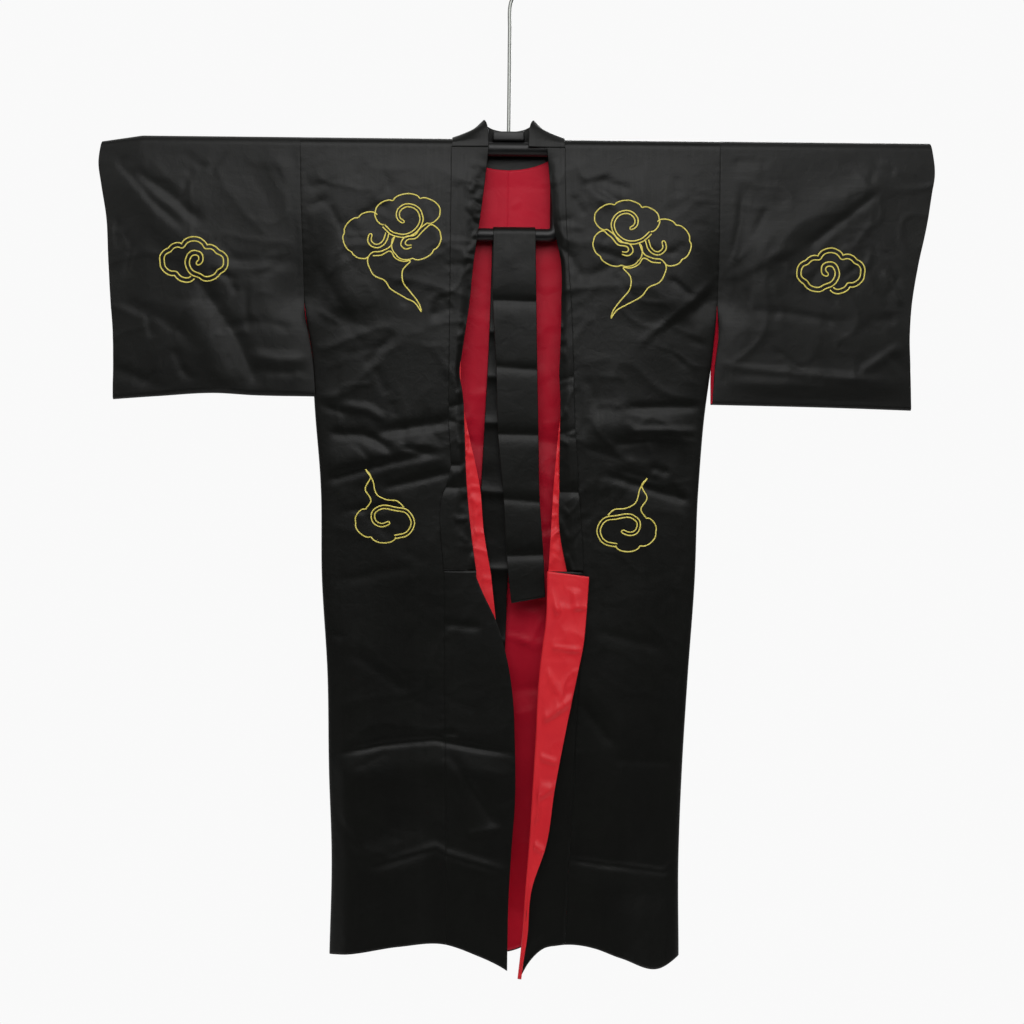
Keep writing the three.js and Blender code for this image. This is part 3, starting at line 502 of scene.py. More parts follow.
def surface(name, points, wrap=False, flip=False, keep=None, caps=False):
    """Mesh of a grid of points, rows by columns, with the running length along both as its UV map.

    With wrap the last column joins the first, keep says which cells stay, and caps closes both
    ends.
    """
    rows, count = points.shape[:2]
    opened = np.concatenate([points, points[:, :1]], 1) if wrap else points
    index = np.arange(rows * count).reshape(rows, count)
    index = np.concatenate([index, index[:, :1]], 1) if wrap else index
    place = np.arange(opened[..., 0].size).reshape(opened.shape[:2])

    def cells(grid):
        """The four corners of each cell that stays."""
        found = np.stack([grid[:-1, :-1], grid[1:, :-1], grid[1:, 1:], grid[:-1, 1:]], -1)
        found = found[..., ::-1] if flip else found
        return found[keep] if keep is not None else found.reshape(-1, 4)

    u = np.zeros(opened.shape[:2])
    v = np.zeros(opened.shape[:2])
    u[:, 1:] = np.cumsum(np.linalg.norm(np.diff(opened, axis=1), axis=2), axis=1)
    v[1:] = np.cumsum(np.linalg.norm(np.diff(opened, axis=0), axis=2), axis=0)
    uv = np.stack([u, v], -1).reshape(-1, 2) * MM
    used, faces = np.unique(cells(index), return_inverse=True)
    faces = faces.reshape(-1, 4).tolist()
    corners = cells(place).ravel().tolist()
    if caps:
        for ring, end in ((index[0], 0), (index[-1], rows - 1)):
            loop = ring[:count].tolist()
            loop = loop if (end > 0) == flip else loop[::-1]
            faces.append(loop)
            corners += [place[end, 0]] * count
    mesh = bpy.data.meshes.new(name)
    mesh.from_pydata((points.reshape(-1, 3)[used] * MM).tolist(), [], faces)
    layer = mesh.uv_layers.new(name="cloth")
    layer.uv.foreach_set("vector", uv[corners].astype(np.float32).ravel())
    mesh.polygons.foreach_set("use_smooth", [True] * len(mesh.polygons))
    return mesh


def piece(name, mesh, slot, *materials, nodes=(), thickness=0.0, inner=False):
    """Puts a mesh on the robe's body, with its finish and the thickness of its cloth."""
    thing = bpy.data.objects.new(name, mesh)
    bpy.context.scene.collection.objects.link(thing)
    for material in materials:
        mesh.materials.append(material)
    if thickness:
        wall = thing.modifiers.new("thickness", "SOLIDIFY")
        wall.thickness = thickness * MM
        wall.offset = -1
        wall.material_offset = 1 if inner else 0
    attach(thing, "root")
    if nodes:
        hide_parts(*nodes)
    return thing


def srgb(code):
    """Linear colour of an sRGB hex code."""
    parts = [int(code[i:i + 2], 16) / 255 for i in (0, 2, 4)]
    return (*(p / 12.92 if p <= 0.04045 else ((p + 0.055) / 1.055) ** 2.4 for p in parts), 1.0)


def add(tree, kind, inputs=(), **settings):
    """Adds a node. Settings are its properties; an input is a value or the socket feeding it."""
    made = tree.nodes.new(kind)
    for name, value in settings.items():
        setattr(made, name, value)
    for name, value in dict(inputs).items():
        if isinstance(value, bpy.types.NodeSocket):
            tree.links.new(value, made.inputs[name])
        else:
            made.inputs[name].default_value = value
    return made


def grain(tree, place, scale, detail=2, distortion=0):
    """Value of a noise texture at a socket's place."""
    return add(tree, "ShaderNodeTexNoise", {
        "Vector": place, "Scale": scale, "Detail": detail, "Distortion": distortion,
    }).outputs[0]


def two_tone(tree, share, dark, light):
    """Colour between two sRGB codes, by a socket's value."""
    made = add(tree, "ShaderNodeMix", {0: share, 6: srgb(dark), 7: srgb(light)}, data_type="RGBA")
    return made.outputs[2]


def graded(tree, value, low, high, start=0, end=1):
    """From low to high while a socket's value goes from start to end."""
    return add(tree, "ShaderNodeMapRange", {0: value, 1: start, 2: end, 3: low, 4: high}).outputs[0]


def bump(tree, height, strength, distance, **below):
    """Normal of a fine relief; below may give the Normal that it lies on."""
    return add(tree, "ShaderNodeBump", {
        "Height": height, "Strength": strength, "Distance": distance, **below,
    }).outputs[0]


def cloth_uv(tree):
    """Running length along the cloth, cord or wire, in metres."""
    return add(tree, "ShaderNodeUVMap", uv_map="cloth").outputs[0]


def feed(tree, shader, **sockets):
    """Links sockets into the shader's, with _ for a space in their names."""
    for name, socket in sockets.items():
        tree.links.new(socket, shader.inputs[name.replace("_", " ")])


def new_material(name, **values):
    """A material with its main shader, whose even values are set on the shader's own sockets."""
    material = bpy.data.materials.new(name)
    material.use_nodes = True
    tree = material.node_tree
    shader = tree.nodes["Principled BSDF"]
    for socket, value in values.items():
        shader.inputs[socket.replace("_", " ")].default_value = value
    return material, tree, shader


def satin_material():
    """Warp-faced polyester satin, dyed black: long floats down the cloth stretch each highlight
    across it, the face is nearly black, and folds catch a cool grey gloss."""
    material, tree, shader = new_material(
        "black_satin", Anisotropic=0.5, Specular_IOR_Level=0.25, Sheen_Weight=0.02,
        Sheen_Roughness=0.4,
    )
    uv = cloth_uv(tree)
    fibres = add(tree, "ShaderNodeMapping", {"Vector": uv, "Scale": (900, 16, 1)})
    warp = grain(tree, fibres.outputs[0], 1)
    weave = bump(tree, warp, 0.06, 0.0002)
    tangent = add(tree, "ShaderNodeTangent", direction_type="UV_MAP", uv_map="cloth")
    feed(
        tree, shader, Tangent=tangent.outputs[0],
        Base_Color=two_tone(tree, grain(tree, uv, 14, 4), "0b0b0a", "121310"),
        Roughness=graded(tree, warp, 0.40, 0.50, 0.3, 0.7),
        Normal=bump(tree, grain(tree, uv, 60, 3, 0.6), 0.35, 0.0012, Normal=weave),
    )
    return material


def lining_material(name, dark, light, gloss):
    """Plain-woven polyester lining, dyed scarlet: a thin, crisp cloth with a slight gloss, whose
    threads cross at right angles. It comes in two tones of one cloth: a brighter copy painted light
    for the turned-out pieces, and a darker copy painted shade for the lining deep inside."""
    material, tree, shader = new_material(name, Specular_IOR_Level=gloss)
    uv = cloth_uv(tree)
    threads = []
    for direction in ("X", "Y"):
        # Threads 0.9 mm apart, coarser than the real 0.2 mm so that they show
        threads.append(add(tree, "ShaderNodeTexWave", {
            "Vector": uv, "Scale": 350, "Distortion": 0.6, "Detail": 1,
        }, bands_direction=direction))
    weave = add(tree, "ShaderNodeMath", {0: threads[0].outputs[1], 1: threads[1].outputs[1]},
                operation="ADD")
    fine = bump(tree, weave.outputs[0], 0.08, 0.0002)
    patches = grain(tree, uv, 18, 4)
    feed(
        tree, shader, Base_Color=two_tone(tree, patches, dark, light),
        Roughness=graded(tree, patches, 0.38, 0.5),
        Normal=bump(tree, grain(tree, uv, 45, 3, 0.8), 0.4, 0.0015, Normal=fine),
    )
    return material


def gold_material():
    """Metallised film wound on a core and twisted: a bright yellow cord whose colour follows its
    turns, with a painted highlight along each crest and painted shade in the gaps between them."""
    material, tree, shader = new_material("gold_thread", Specular_IOR_Level=0.9)
    uv = cloth_uv(tree)
    # Turns 1.1 mm apart, slanted across the cord
    twist = add(tree, "ShaderNodeMapping", {"Vector": uv, "Rotation": (0, 0, math.radians(40))})
    turns = add(tree, "ShaderNodeTexWave", {
        "Vector": twist.outputs[0], "Scale": 285, "Distortion": 0.4,
    }, bands_direction="X").outputs[1]
    patches = grain(tree, uv, 160)
    # Painted highlight on the crests of the turns and painted shade in their gaps, mottled by
    # random patches of tone
    painted_glint_and_patches = add(tree, "ShaderNodeMath", {0: turns, 1: patches}, operation="MULTIPLY")
    feed(
        tree, shader, Base_Color=two_tone(tree, painted_glint_and_patches.outputs[0], "f0da3c", "fffdb4"),
        Roughness=graded(tree, patches, 0.28, 0.45), Normal=bump(tree, turns, 0.5, 0.0003),
    )
    return material


def plastic_material():
    """Injection-moulded black polystyrene: glossy, with a faint orange peel and handling marks."""
    material, tree, shader = new_material("black_plastic", Specular_IOR_Level=0.36, IOR=1.5)
    place = add(tree, "ShaderNodeTexCoord").outputs["Object"]
    marks = grain(tree, place, 35, 5)
    feed(
        tree, shader, Base_Color=two_tone(tree, marks, "0c0c0c", "191919"),
        Roughness=graded(tree, marks, 0.32, 0.5),
        Normal=bump(tree, grain(tree, place, 420), 0.12, 0.0002),
    )
    return material


def steel_material():
    """Drawn and nickel-plated steel wire: bright, with fine drawing marks along its length."""
    material, tree, shader = new_material("steel_wire", Metallic=1.0)
    drawn = add(tree, "ShaderNodeMapping", {"Vector": cloth_uv(tree), "Scale": (2500, 30, 1)})
    marks = grain(tree, drawn.outputs[0], 1, 3)
    feed(
        tree, shader, Base_Color=two_tone(tree, marks, "6c6e6b", "a2a4a0"),
        Roughness=graded(tree, marks, 0.2, 0.38),
    )
    return material


SATIN_FINISH = satin_material()
# Two copies of one red cloth: the darker is painted shade for the inside, the brighter is painted
# light for the pieces turned out
SHADED_LINING_FINISH = lining_material("red_lining", "b4122a", "cc2036", 0.12)
LIT_LINING_FINISH = lining_material("red_lining_painted_lit", "d61f2d", "f03238", 0.3)
GOLD_FINISH = gold_material()
PLASTIC_FINISH = plastic_material()
STEEL_FINISH = steel_material()


def panel(label, mesh, nodes, lining, lining_finish=SHADED_LINING_FINISH):
    """One layer of cloth: satin, or its thinner lining."""
    if lining:
        return piece(f"{label}_cloth", mesh, "red_lining", lining_finish, nodes=nodes,
                     thickness=LINING)
    return piece(f"{label}_cloth", mesh, "black_satin", SATIN_FINISH, nodes=nodes, thickness=SATIN)


def body_edge(name):
    """One of the body's edges or seams, as a function of height."""
    return lambda z: across(BODY, name, z)


def middle_line(z):
    """The body's middle, where the back's halves meet."""
    return 0 * z


def overlap_edge(z):
    """Free edge of the left overlap."""
    return across(OVERLAP, "left", z)


def body_heights(foot_x, hem, margin, cell):
    """Rows of heights below the pole's axis: level to the collar's end, then shared to the hem."""
    level = np.linspace(POLE_Z, COLLAR_END_Z, round((POLE_Z - COLLAR_END_Z) / cell))
    lower = np.linspace(0, 1, round(SKIRT_HEIGHT / cell))[1:, None]
    hem_z = across(hem, "z", foot_x)[None] + margin
    return np.concatenate([np.repeat(level[:, None], len(foot_x), 1),
                           lerp(COLLAR_END_Z, hem_z, lower)])


def body_grid(start, end, shares, side, hem, inset=0.0, cell=4.0, margin=0.0, neck=False):
    """Points of a body panel between two edges, round the pole above its axis and on the body's
    half depth below it."""
    foot_x = lerp(start(BODY_FOOT_Z), end(BODY_FOOT_Z), shares)
    z = body_heights(foot_x, hem, margin, cell)
    x = lerp(start(z), end(z), shares[None])
    if neck:
        line = across(NECKLINE, "z", np.minimum(np.abs(x), NECK_HALF))
        squeezed = NECK_FOOT + (z - NECK_FOOT) * (line - NECK_FOOT) / (POLE_Z - NECK_FOOT)
        z = np.where((z > NECK_FOOT) & (np.abs(x) < NECK_HALF), squeezed, z)
    width = np.abs(end(z) - start(z))
    depth = body_depth(x, z, side)
    for distance in (shares[None] * width, (1 - shares[None]) * width):
        depth = depth + seam_roll(distance, z) * ramp((POLE_Z - z) / 30)
    depth = np.maximum(depth - inset, 0.2 * depth)
    below = np.stack([x, side * depth, z], -1)
    angles = np.radians(np.linspace(0, 90, OVER_ROWS + 1))[:-1, None]
    radius = WRAP - inset
    over_z = POLE_Z + radius * np.cos(angles) + 0 * shares[None]
    over_x = lerp(start(over_z), end(over_z), shares[None])
    over = np.stack([over_x, side * radius * np.sin(angles) + 0 * over_x, over_z], -1)
    return np.concatenate([over, below])


def add_fronts():
    """One long panel each side of the opening, black outside and lined red inside."""
    for name, start, end in (
        ("left", body_edge("side_left"), body_edge("seam_left")),
        ("right", body_edge("seam_right"), body_edge("side_right")),
    ):
        points = body_grid(start, end, spread(FRONT_WIDTH, 3.9), -1, FRONT_HEM, cell=3.8)
        front = piece(f"front_{name}_cloth", surface(f"front_{name}", points), "black_satin",
                      SATIN_FINISH, SHADED_LINING_FINISH, nodes=[f"front_{name}"], thickness=SATIN,
                      inner=True)


def add_backs():
    """Two halves with a centre seam, and the lining behind them, which ends above the hem."""
    for name, edge_name, sign in (("left", "side_left", -1), ("right", "side_right", 1)):
        corner = 1 - NECK_HALF / BACK_HALF
        outer = spread(BACK_OUTER, 6.0) * corner
        inner = corner + spread(NECK_HALF, 4.0) * (1 - corner)
        every = np.concatenate([outer[:-1], inner])
        for lining in (False, True):
            # The lining starts 3 mm inside the side seam
            shares = every[3:] if lining else every
            points = body_grid(
                body_edge(edge_name), middle_line, shares, 1, BACK_HEM, neck=True,
                cell=5.2 if lining else 6.0, inset=LINING_INSET if lining else 0.0,
                margin=LINING_MARGIN if lining else 0.0,
            )
            if lining:
                x, z = points[..., 0], points[..., 2]
                marks = (*LINING_CREASES, *crinkles(44, (-84, 100), (-965, -735), 14))
                points[..., 1] -= 1.4 * crease_relief(marks, x, z) * ramp((POLE_Z - z) / 50)
            middle = np.abs(points[:-1, :-1, 0] + points[:-1, 1:, 0]) / 2
            keep = np.ones(middle.shape, bool)
            keep[:OVER_ROWS] = middle[:OVER_ROWS] > NECK_HALF
            label = f"lining_back_{name}" if lining else f"back_{name}"
            mesh = surface(label, points, flip=sign < 0, keep=keep)
            made = panel(label, mesh, [label], lining)


def sleeve_grid(sleeve, inset, cell, shares):
    """Points of a whole sleeve as a tube: rows run round it from the shoulder, columns from the
    armhole to the cuff. Each row is worked out as one array over the columns."""
    sign = sleeve["sign"]

    def inner_at(z, side):
        """X of the armhole, and of the open edge below it."""
        opened = across(sleeve["open"], "front" if side < 0 else "back", z)
        return np.where(z >= ARMHOLE_Z, across(BODY, sleeve["armhole"], z), opened)

    def x_at(z, side):
        """X of each column, shared between the armhole and the cuff."""
        return lerp(inner_at(z, side), across(sleeve["cuff"], "x", z), shares)

    level = 0 * shares
    past = (x_at(level + SHOULDER_Z, -1) - DROOP["start"]) / (DROOP["end"] - DROOP["start"])
    droop = np.clip(past, 0, 1) if sign < 0 else level
    wrap = lerp(WRAP, DROOP["wrap"], droop)
    axis = SHOULDER_Z - DROOP["drop"] * droop - wrap

    def ring(side):
        """Rows of one side: over the pole, down the sleeve and round half of its lower fold."""
        fold_z = across(sleeve["fold"], "z", x_at(level + SLEEVE_FOOT_Z, side))
        fold_top = fold_z + CUFF_FOLD
        rows = []
        radius = wrap - inset
        for angle in np.radians(np.linspace(0, 90, OVER_ROWS + 1))[:-1]:
            z = axis + radius * math.cos(angle)
            rows.append((x_at(z, side), side * radius * math.sin(angle), z))
        for share in np.linspace(0, 1, round(SLEEVE_HEIGHT / cell)):
            z = lerp(axis, fold_top, share)
            x = x_at(z, side)
            shrink = (WRAP - wrap) * (1 - share)
            inner = inner_at(z, side)
            depth = sleeve_depth(x, z, side, inner) - shrink
            roll = seam_roll(np.abs(x - inner), z) * ramp((POLE_Z - z) / 30)
            depth = depth + roll * (z > ARMHOLE_Z)
            rows.append((x, side * np.maximum(depth - inset, 0.2 * depth), z))
        radius = CUFF_FOLD - inset
        for angle in np.radians(np.linspace(90, 0, 7))[1:]:
            z = fold_top - radius * math.cos(angle)
            rows.append((x_at(fold_z, side), side * radius * math.sin(angle), z))
        return np.stack([np.stack(np.broadcast_arrays(*row), -1) for row in rows])

    front, back = ring(-1), ring(1)
    meet = (front[-1] + back[-1]) / 2
    return np.concatenate([front[:-1], meet[None], back[1:-1][::-1]])


def add_sleeves():
    """Each sleeve is one cut piece folded at the shoulder, open at the cuff and, below the armhole,
    along its inner edge. The lining is a tube of its own inside it."""
    for name, sleeve in SLEEVES.items():
        for lining in (False, True):
            shares = spread(SLEEVE_WIDTH, 9.0 if lining else 3.9)
            if lining:
                # The lining ends just inside the cuff
                shares = shares[:-1]
            inset = LINING_INSET if lining else 0.0
            points = sleeve_grid(sleeve, inset, 9.0 if lining else 3.8, shares)
            # Rows run round the tube, so the grid is turned to close it over its columns
            points = points.transpose(1, 0, 2)
            label = f"lining_sleeve_{name}" if lining else f"sleeve_{name}"
            mesh = surface(label, points, wrap=True, flip=sleeve["sign"] > 0)
            made = panel(label, mesh, [f"{label}_front", f"{label}_back"], lining)


def band(name, centre, thickness):
    """Closed flat strip about a grid of its middle points, with rounded edges: both faces stand
    half the thickness off the middle along its normals."""
    across_step = np.gradient(centre, axis=1)
    down_step = np.gradient(centre, axis=0)
    normal = np.cross(down_step, across_step)
    normal /= np.linalg.norm(normal, axis=2, keepdims=True)
    out = across_step / np.linalg.norm(across_step, axis=2, keepdims=True)
    half = thickness / 2
    ring = [centre + half * normal]
    for column, way in ((-1, 1), (0, -1)):
        for angle in (30, 60, 90, 120, 150):
            turn = math.radians(angle) * way
            faced, beside = normal[:, column], out[:, column]
            rim = half * (math.cos(turn) * way * faced + math.sin(turn) * beside)
            ring.append((centre[:, column] + rim)[:, None])
        if way > 0:
            ring.append((centre - half * normal)[:, ::-1])
    return surface(name, np.concatenate(ring, 1), wrap=True, caps=True)


def add_front_collars():
    """Folded bands down the fronts. Their inner halves and the right one's top are crinkled."""
    z = np.linspace(POLE_Z + 0.8, COLLAR_END_Z, 235)[:, None]
    for name, seam, edge, count, x_range, z_range in (
        ("left", "seam_left", "left", 70, (-78, -36), (-990, -330)),
        ("right", "seam_right", "right", 46, (62, 120), (-990, -310)),
    ):
        shares = spread(COLLAR_WIDTH, 2.6)
        start, end = across(BODY, seam, z), across(COLLAR_EDGES, edge, z)
        x = lerp(start, end, shares)
        depth = body_depth(x, z + 0 * x, -1)
        small = crease_relief(crinkles(count, x_range, z_range, 7), x, z + 0 * x)
        # Folds across the band, which slant one way and the other in turn
        packing = fold_line(z - PACKING_Z + 0.03 * x, 4.2)
        for i, mark in enumerate(COLLAR_FOLDS[name]):
            packing = packing + fold_line(z - mark - (0.25, -0.2)[i % 2] * x, 1.7, 7, 5)
        # From a ridge along its middle the band slopes inward to its free edge
        ridge = 0.5 if name == "left" else 0.3
        slope = 7.5 * ramp((shares - ridge) / (1.2 - ridge)) * ramp((POLE_Z - z) / 60)
        depth = depth + 1.6 * small * ramp(shares * 2.2 - 0.7) * ramp((POLE_Z - z) / 30)
        depth = depth + packing - slope + 1.5
        middle = np.stack([x, -(depth + GAP - COLLAR / 2), z + 0 * x], -1)
        if name == "right":
            middle = middle[:, ::-1]
        made = piece(f"collar_{name}_cloth", band(f"collar_{name}", middle, COLLAR), "black_satin",
                     SATIN_FINISH, nodes=[f"collar_{name}"])


def smooth_path(points, count):
    """Evenly spread points on a Catmull-Rom curve through given ones."""
    points = np.array(points, float)
    padded = np.concatenate([[2 * points[0] - points[1]], points, [2 * points[-1] - points[-2]]])
    t = np.linspace(0, 1, 25)[:-1].reshape(-1, *(1,) * points.ndim)
    a, b, c, d = (padded[i:len(padded) - 3 + i] for i in range(4))
    curve = 0.5 * (2 * b + (c - a) * t + (2 * a - 5 * b + 4 * c - d) * t**2
                   + (3 * b - a - 3 * c + d) * t**3)
    curve = curve.transpose(1, 0, *range(2, curve.ndim)).reshape(-1, *points.shape[1:])
    curve = np.concatenate([curve, points[-1:]])
    flat = curve.reshape(len(curve), -1)
    run = np.concatenate([[0], np.cumsum(np.linalg.norm(np.diff(flat, axis=0), axis=1))])
    at = np.linspace(0, run[-1], count)
    spread_out = np.stack([np.interp(at, run, flat[:, i]) for i in range(flat.shape[1])], -1)
    return spread_out.reshape(count, *points.shape[1:])


def add_back_collar():
    """The rest of the collar, standing round the back of the neck in a soft arch."""
    half = np.array(COLLAR_BACK, float)
    mirrored = half[:-1][::-1] * (-1, 1, 1)
    sections = smooth_path(np.concatenate([half, mirrored]), 130)
    shares = spread(COLLAR_WIDTH, 3)[:, None]
    seam_edge = sections[:, 0] + np.array((0, 1.3, -4)) * ramp(sections[:, :1, 1] / 14)
    middle = lerp(seam_edge[:, None], sections[:, None, 1], shares)
    bulge = np.sin(np.pi * shares[:, 0]) * 1.5
    middle[..., 1] += bulge + 0.5 * noise(middle[..., 0], middle[..., 2], 22, 3)
    made = piece("collar_back_cloth", band("collar_back", middle, COLLAR), "black_satin",
                 SATIN_FINISH, nodes=["collar_back"])


def add_facings():
    """Red lining of the fronts where it stands out past the collars."""
    for name, seam, shift, foot, flip in (
        ("left", "seam_left", 10, -1078, False),
        ("right", "seam_right", -8, -1003, True),
    ):
        z = np.linspace(-650, foot, 150)[:, None]
        shares = spread(50, 2.0)
        end = across(FACING_EDGES, name, z)
        # Below the collar the left one narrows to a point
        tail = np.interp(z, (-1078, -1000), (-12, -21))
        end = np.where((z < -1000) & (name == "left"), tail, end)
        x = lerp(across(BODY, seam, z) + shift, end, shares)
        level = z + 0 * x
        collar_x = across(COLLAR_EDGES, name, level)
        past = x - collar_x if name == "left" else collar_x - x
        ripple = 1.2 * np.sin(level / 23 + 1.5 * noise(x, level, 60, 31))
        small = crease_relief(crinkles(34, (-80, -10) if name == "left" else (66, 100),
                                       (-1010, -740), 12), x, level)
        moved = ripple + 2.2 * small + 2.6 * crumple(x, level, 34, 33) - 3.0
        moved = np.minimum(moved, 2.4) * ramp(past / 5)
        depth = body_depth(x, level, -1) - COLLAR - 6.5 + moved
        points = np.stack([x, -depth, level], -1)
        label = f"facing_{name}"
        made = panel(label, surface(label, points, flip=flip), [label], True, LIT_LINING_FINISH)


def add_left_overlap():
    """Narrow panel below the left collar, hanging straight."""
    points = body_grid(body_edge("seam_left"), overlap_edge, spread(OVERLAP_WIDTH, 3.2), -1,
                       FRONT_HEM)
    points = points[points[:, 0, 2] <= COLLAR_END_Z + 0.1]
    made = piece("overlap_left_cloth", surface("overlap_left", points), "black_satin",
                 SATIN_FINISH, SHADED_LINING_FINISH, nodes=["overlap_left"], thickness=SATIN, inner=True)


def add_turned_overlap():
    """Narrow panel below the right collar, turned out over its front: flat from the seam to a
    fold, round the fold in a half circle and back over itself as a crumpled flap, lining out."""
    rows = np.linspace(0, 1, 170)[:, None]

    def height_at(x):
        """Rows of heights from the collar's end to the hem at an x."""
        return lerp(COLLAR_END_Z, across(FRONT_HEM, "z", x), rows)

    level = height_at(TIP_X)
    seam_x = across(BODY, "seam_right", height_at(SEAM_FOOT_X))
    centre_x = across(OVERLAP, "fold", level) + TURN_BEYOND
    free_x = np.maximum(across(OVERLAP, "free", level), centre_x + 2)
    flat = np.linspace(0, 1, 14)
    flap = np.linspace(0, 1, 31)[1:]
    turn = np.radians(np.arange(15, 181, 15))
    centre_depth = body_depth(centre_x, level, -1)
    for name, inset, flip in (
        ("overlap_right", 0.0, True),
        ("lining_overlap_right", TURNED_INSET, False),
    ):
        # The lining starts a little way inside the seam
        x_flat = lerp(seam_x - 5 * inset, centre_x, flat)
        z_flat = height_at(x_flat)
        at_seam = body_depth(x_flat, z_flat, -1)
        at_fold = body_depth(x_flat, level + 0 * x_flat, -1)
        depth = lerp(at_seam, at_fold, flat)
        depth = depth + seam_roll(seam_x - x_flat, z_flat)
        flat_points = np.stack([x_flat, -(depth - inset), z_flat], -1)
        centre_y = -(centre_depth + TURN_RADIUS)
        grown = TURN_RADIUS + inset
        arc_z = height_at(centre_x) + 0 * turn
        arc_points = np.stack([
            centre_x - grown * np.sin(turn), centre_y + grown * np.cos(turn), arc_z,
        ], -1)
        x_flap = lerp(centre_x, free_x, flap)
        corner = 8 * flap * np.exp(-rows * 30)
        z_flap = height_at(centre_x) + 0 * x_flap - corner
        over = np.maximum(body_depth(x_flap, level + 0 * x_flap, -1), centre_depth)
        small = 2.4 * crease_relief(FLAP_CREASES, x_flap, z_flap)
        small = small + 2.6 * crumple(x_flap, z_flap, 46, 51) + 1.2 * noise(x_flap, z_flap, 55, 52)
        small = small + 0.8 * crumple(x_flap, z_flap, 22, 53)
        lift = 2 * flap + small * ramp(flap * 4)
        flap_points = np.stack([x_flap, -(over + 2 * TURN_RADIUS + inset + lift), z_flap], -1)
        points = np.concatenate([flat_points, arc_points, flap_points], 1)
        made = panel(name, surface(name, points, flip=flip), [name], inset > 0, LIT_LINING_FINISH)


def add_belt():
    """One flat sewn tube of satin, draped over the bar: creased across where it was packed."""
    face = BAR_RADIUS + GAP + BELT / 2
    shares = spread(BELT_WIDTH, 4.2)
    rounds = np.radians(np.arange(-90, 91, 6))[:, None]
    falls = []
    for table, side, end, marks, slant in (
        (BELT_FRONT, -1, -1040, (-551, -660, -769, -875, -966), 10),
        (BELT_REAR, 1, -1390, (-600, -675, -750, -865, -991, -1110, -1240), 0),
    ):
        z = np.linspace(BAR_Z, end, round((BAR_Z - end) / 3.9))[1:, None]
        x = lerp(across(table, "left", z), across(table, "right", z), shares)
        bow = 0.6 * np.sin(shares * np.pi) + 0.5 * noise(x, z + 0 * x, 30, 61)
        for i, mark in enumerate(marks):
            bow = bow + fold_line(z - mark + (0.02, 0.07)[i % 2] * x, (4.4, 3.4)[i % 2], 9, 8)
        ease = ramp((BAR_Z - z) / 40)
        slope = slant * (shares - 0.5) * ramp((end + 120 - z) / 120)
        falls.append(np.stack([x, side * (face + bow * ease), z + slope], -1))
    over_z = BAR_Z + face * np.cos(rounds)
    ends = [lerp(across(t, "left", BAR_Z), across(t, "right", BAR_Z), shares)
            for t in (BELT_FRONT, BELT_REAR)]
    over_x = lerp(ends[0], ends[1], (rounds / math.pi + 0.5))
    over = np.stack([over_x, face * np.sin(rounds) + 0 * over_x, over_z + 0 * over_x], -1)
    middle = np.concatenate([falls[0][::-1], over, falls[1]])
    made = piece("belt_cloth", band("belt", middle, BELT), "black_satin", SATIN_FINISH,
                 nodes=["belt_front", "belt_rear", "belt_over"])


def tube(name, path, radius, sides, rounded=0):
    """Round bar along a path that nowhere runs along Y, with domed ends if asked."""
    path = np.array(path, float)
    radius = np.full(len(path), float(radius))
    if rounded:
        angles = np.radians(np.linspace(90, 0, rounded + 1))[:-1]
        first, last = path[0] - path[1], path[-1] - path[-2]
        first, last = first / np.linalg.norm(first), last / np.linalg.norm(last)
        reach = radius[0] * np.sin(angles)[:, None]
        small = np.maximum(radius[0] * np.cos(angles), 0.05)
        path = np.concatenate([path[0] + first * reach, path, (path[-1] + last * reach)[::-1]])
        radius = np.concatenate([small, radius, small[::-1]])
    along = np.gradient(path, axis=0)
    along /= np.linalg.norm(along, axis=1, keepdims=True)
    depth = np.array((0, 1, 0)) - along * along[:, 1:2]
    depth /= np.linalg.norm(depth, axis=1, keepdims=True)
    outward = np.cross(along, depth)
    turn = np.linspace(0, 2 * np.pi, sides, endpoint=False)[None, :, None]
    ring = np.cos(turn) * outward[:, None] + np.sin(turn) * depth[:, None]
    return surface(name, path[:, None] + radius[:, None, None] * ring, wrap=True, caps=True)


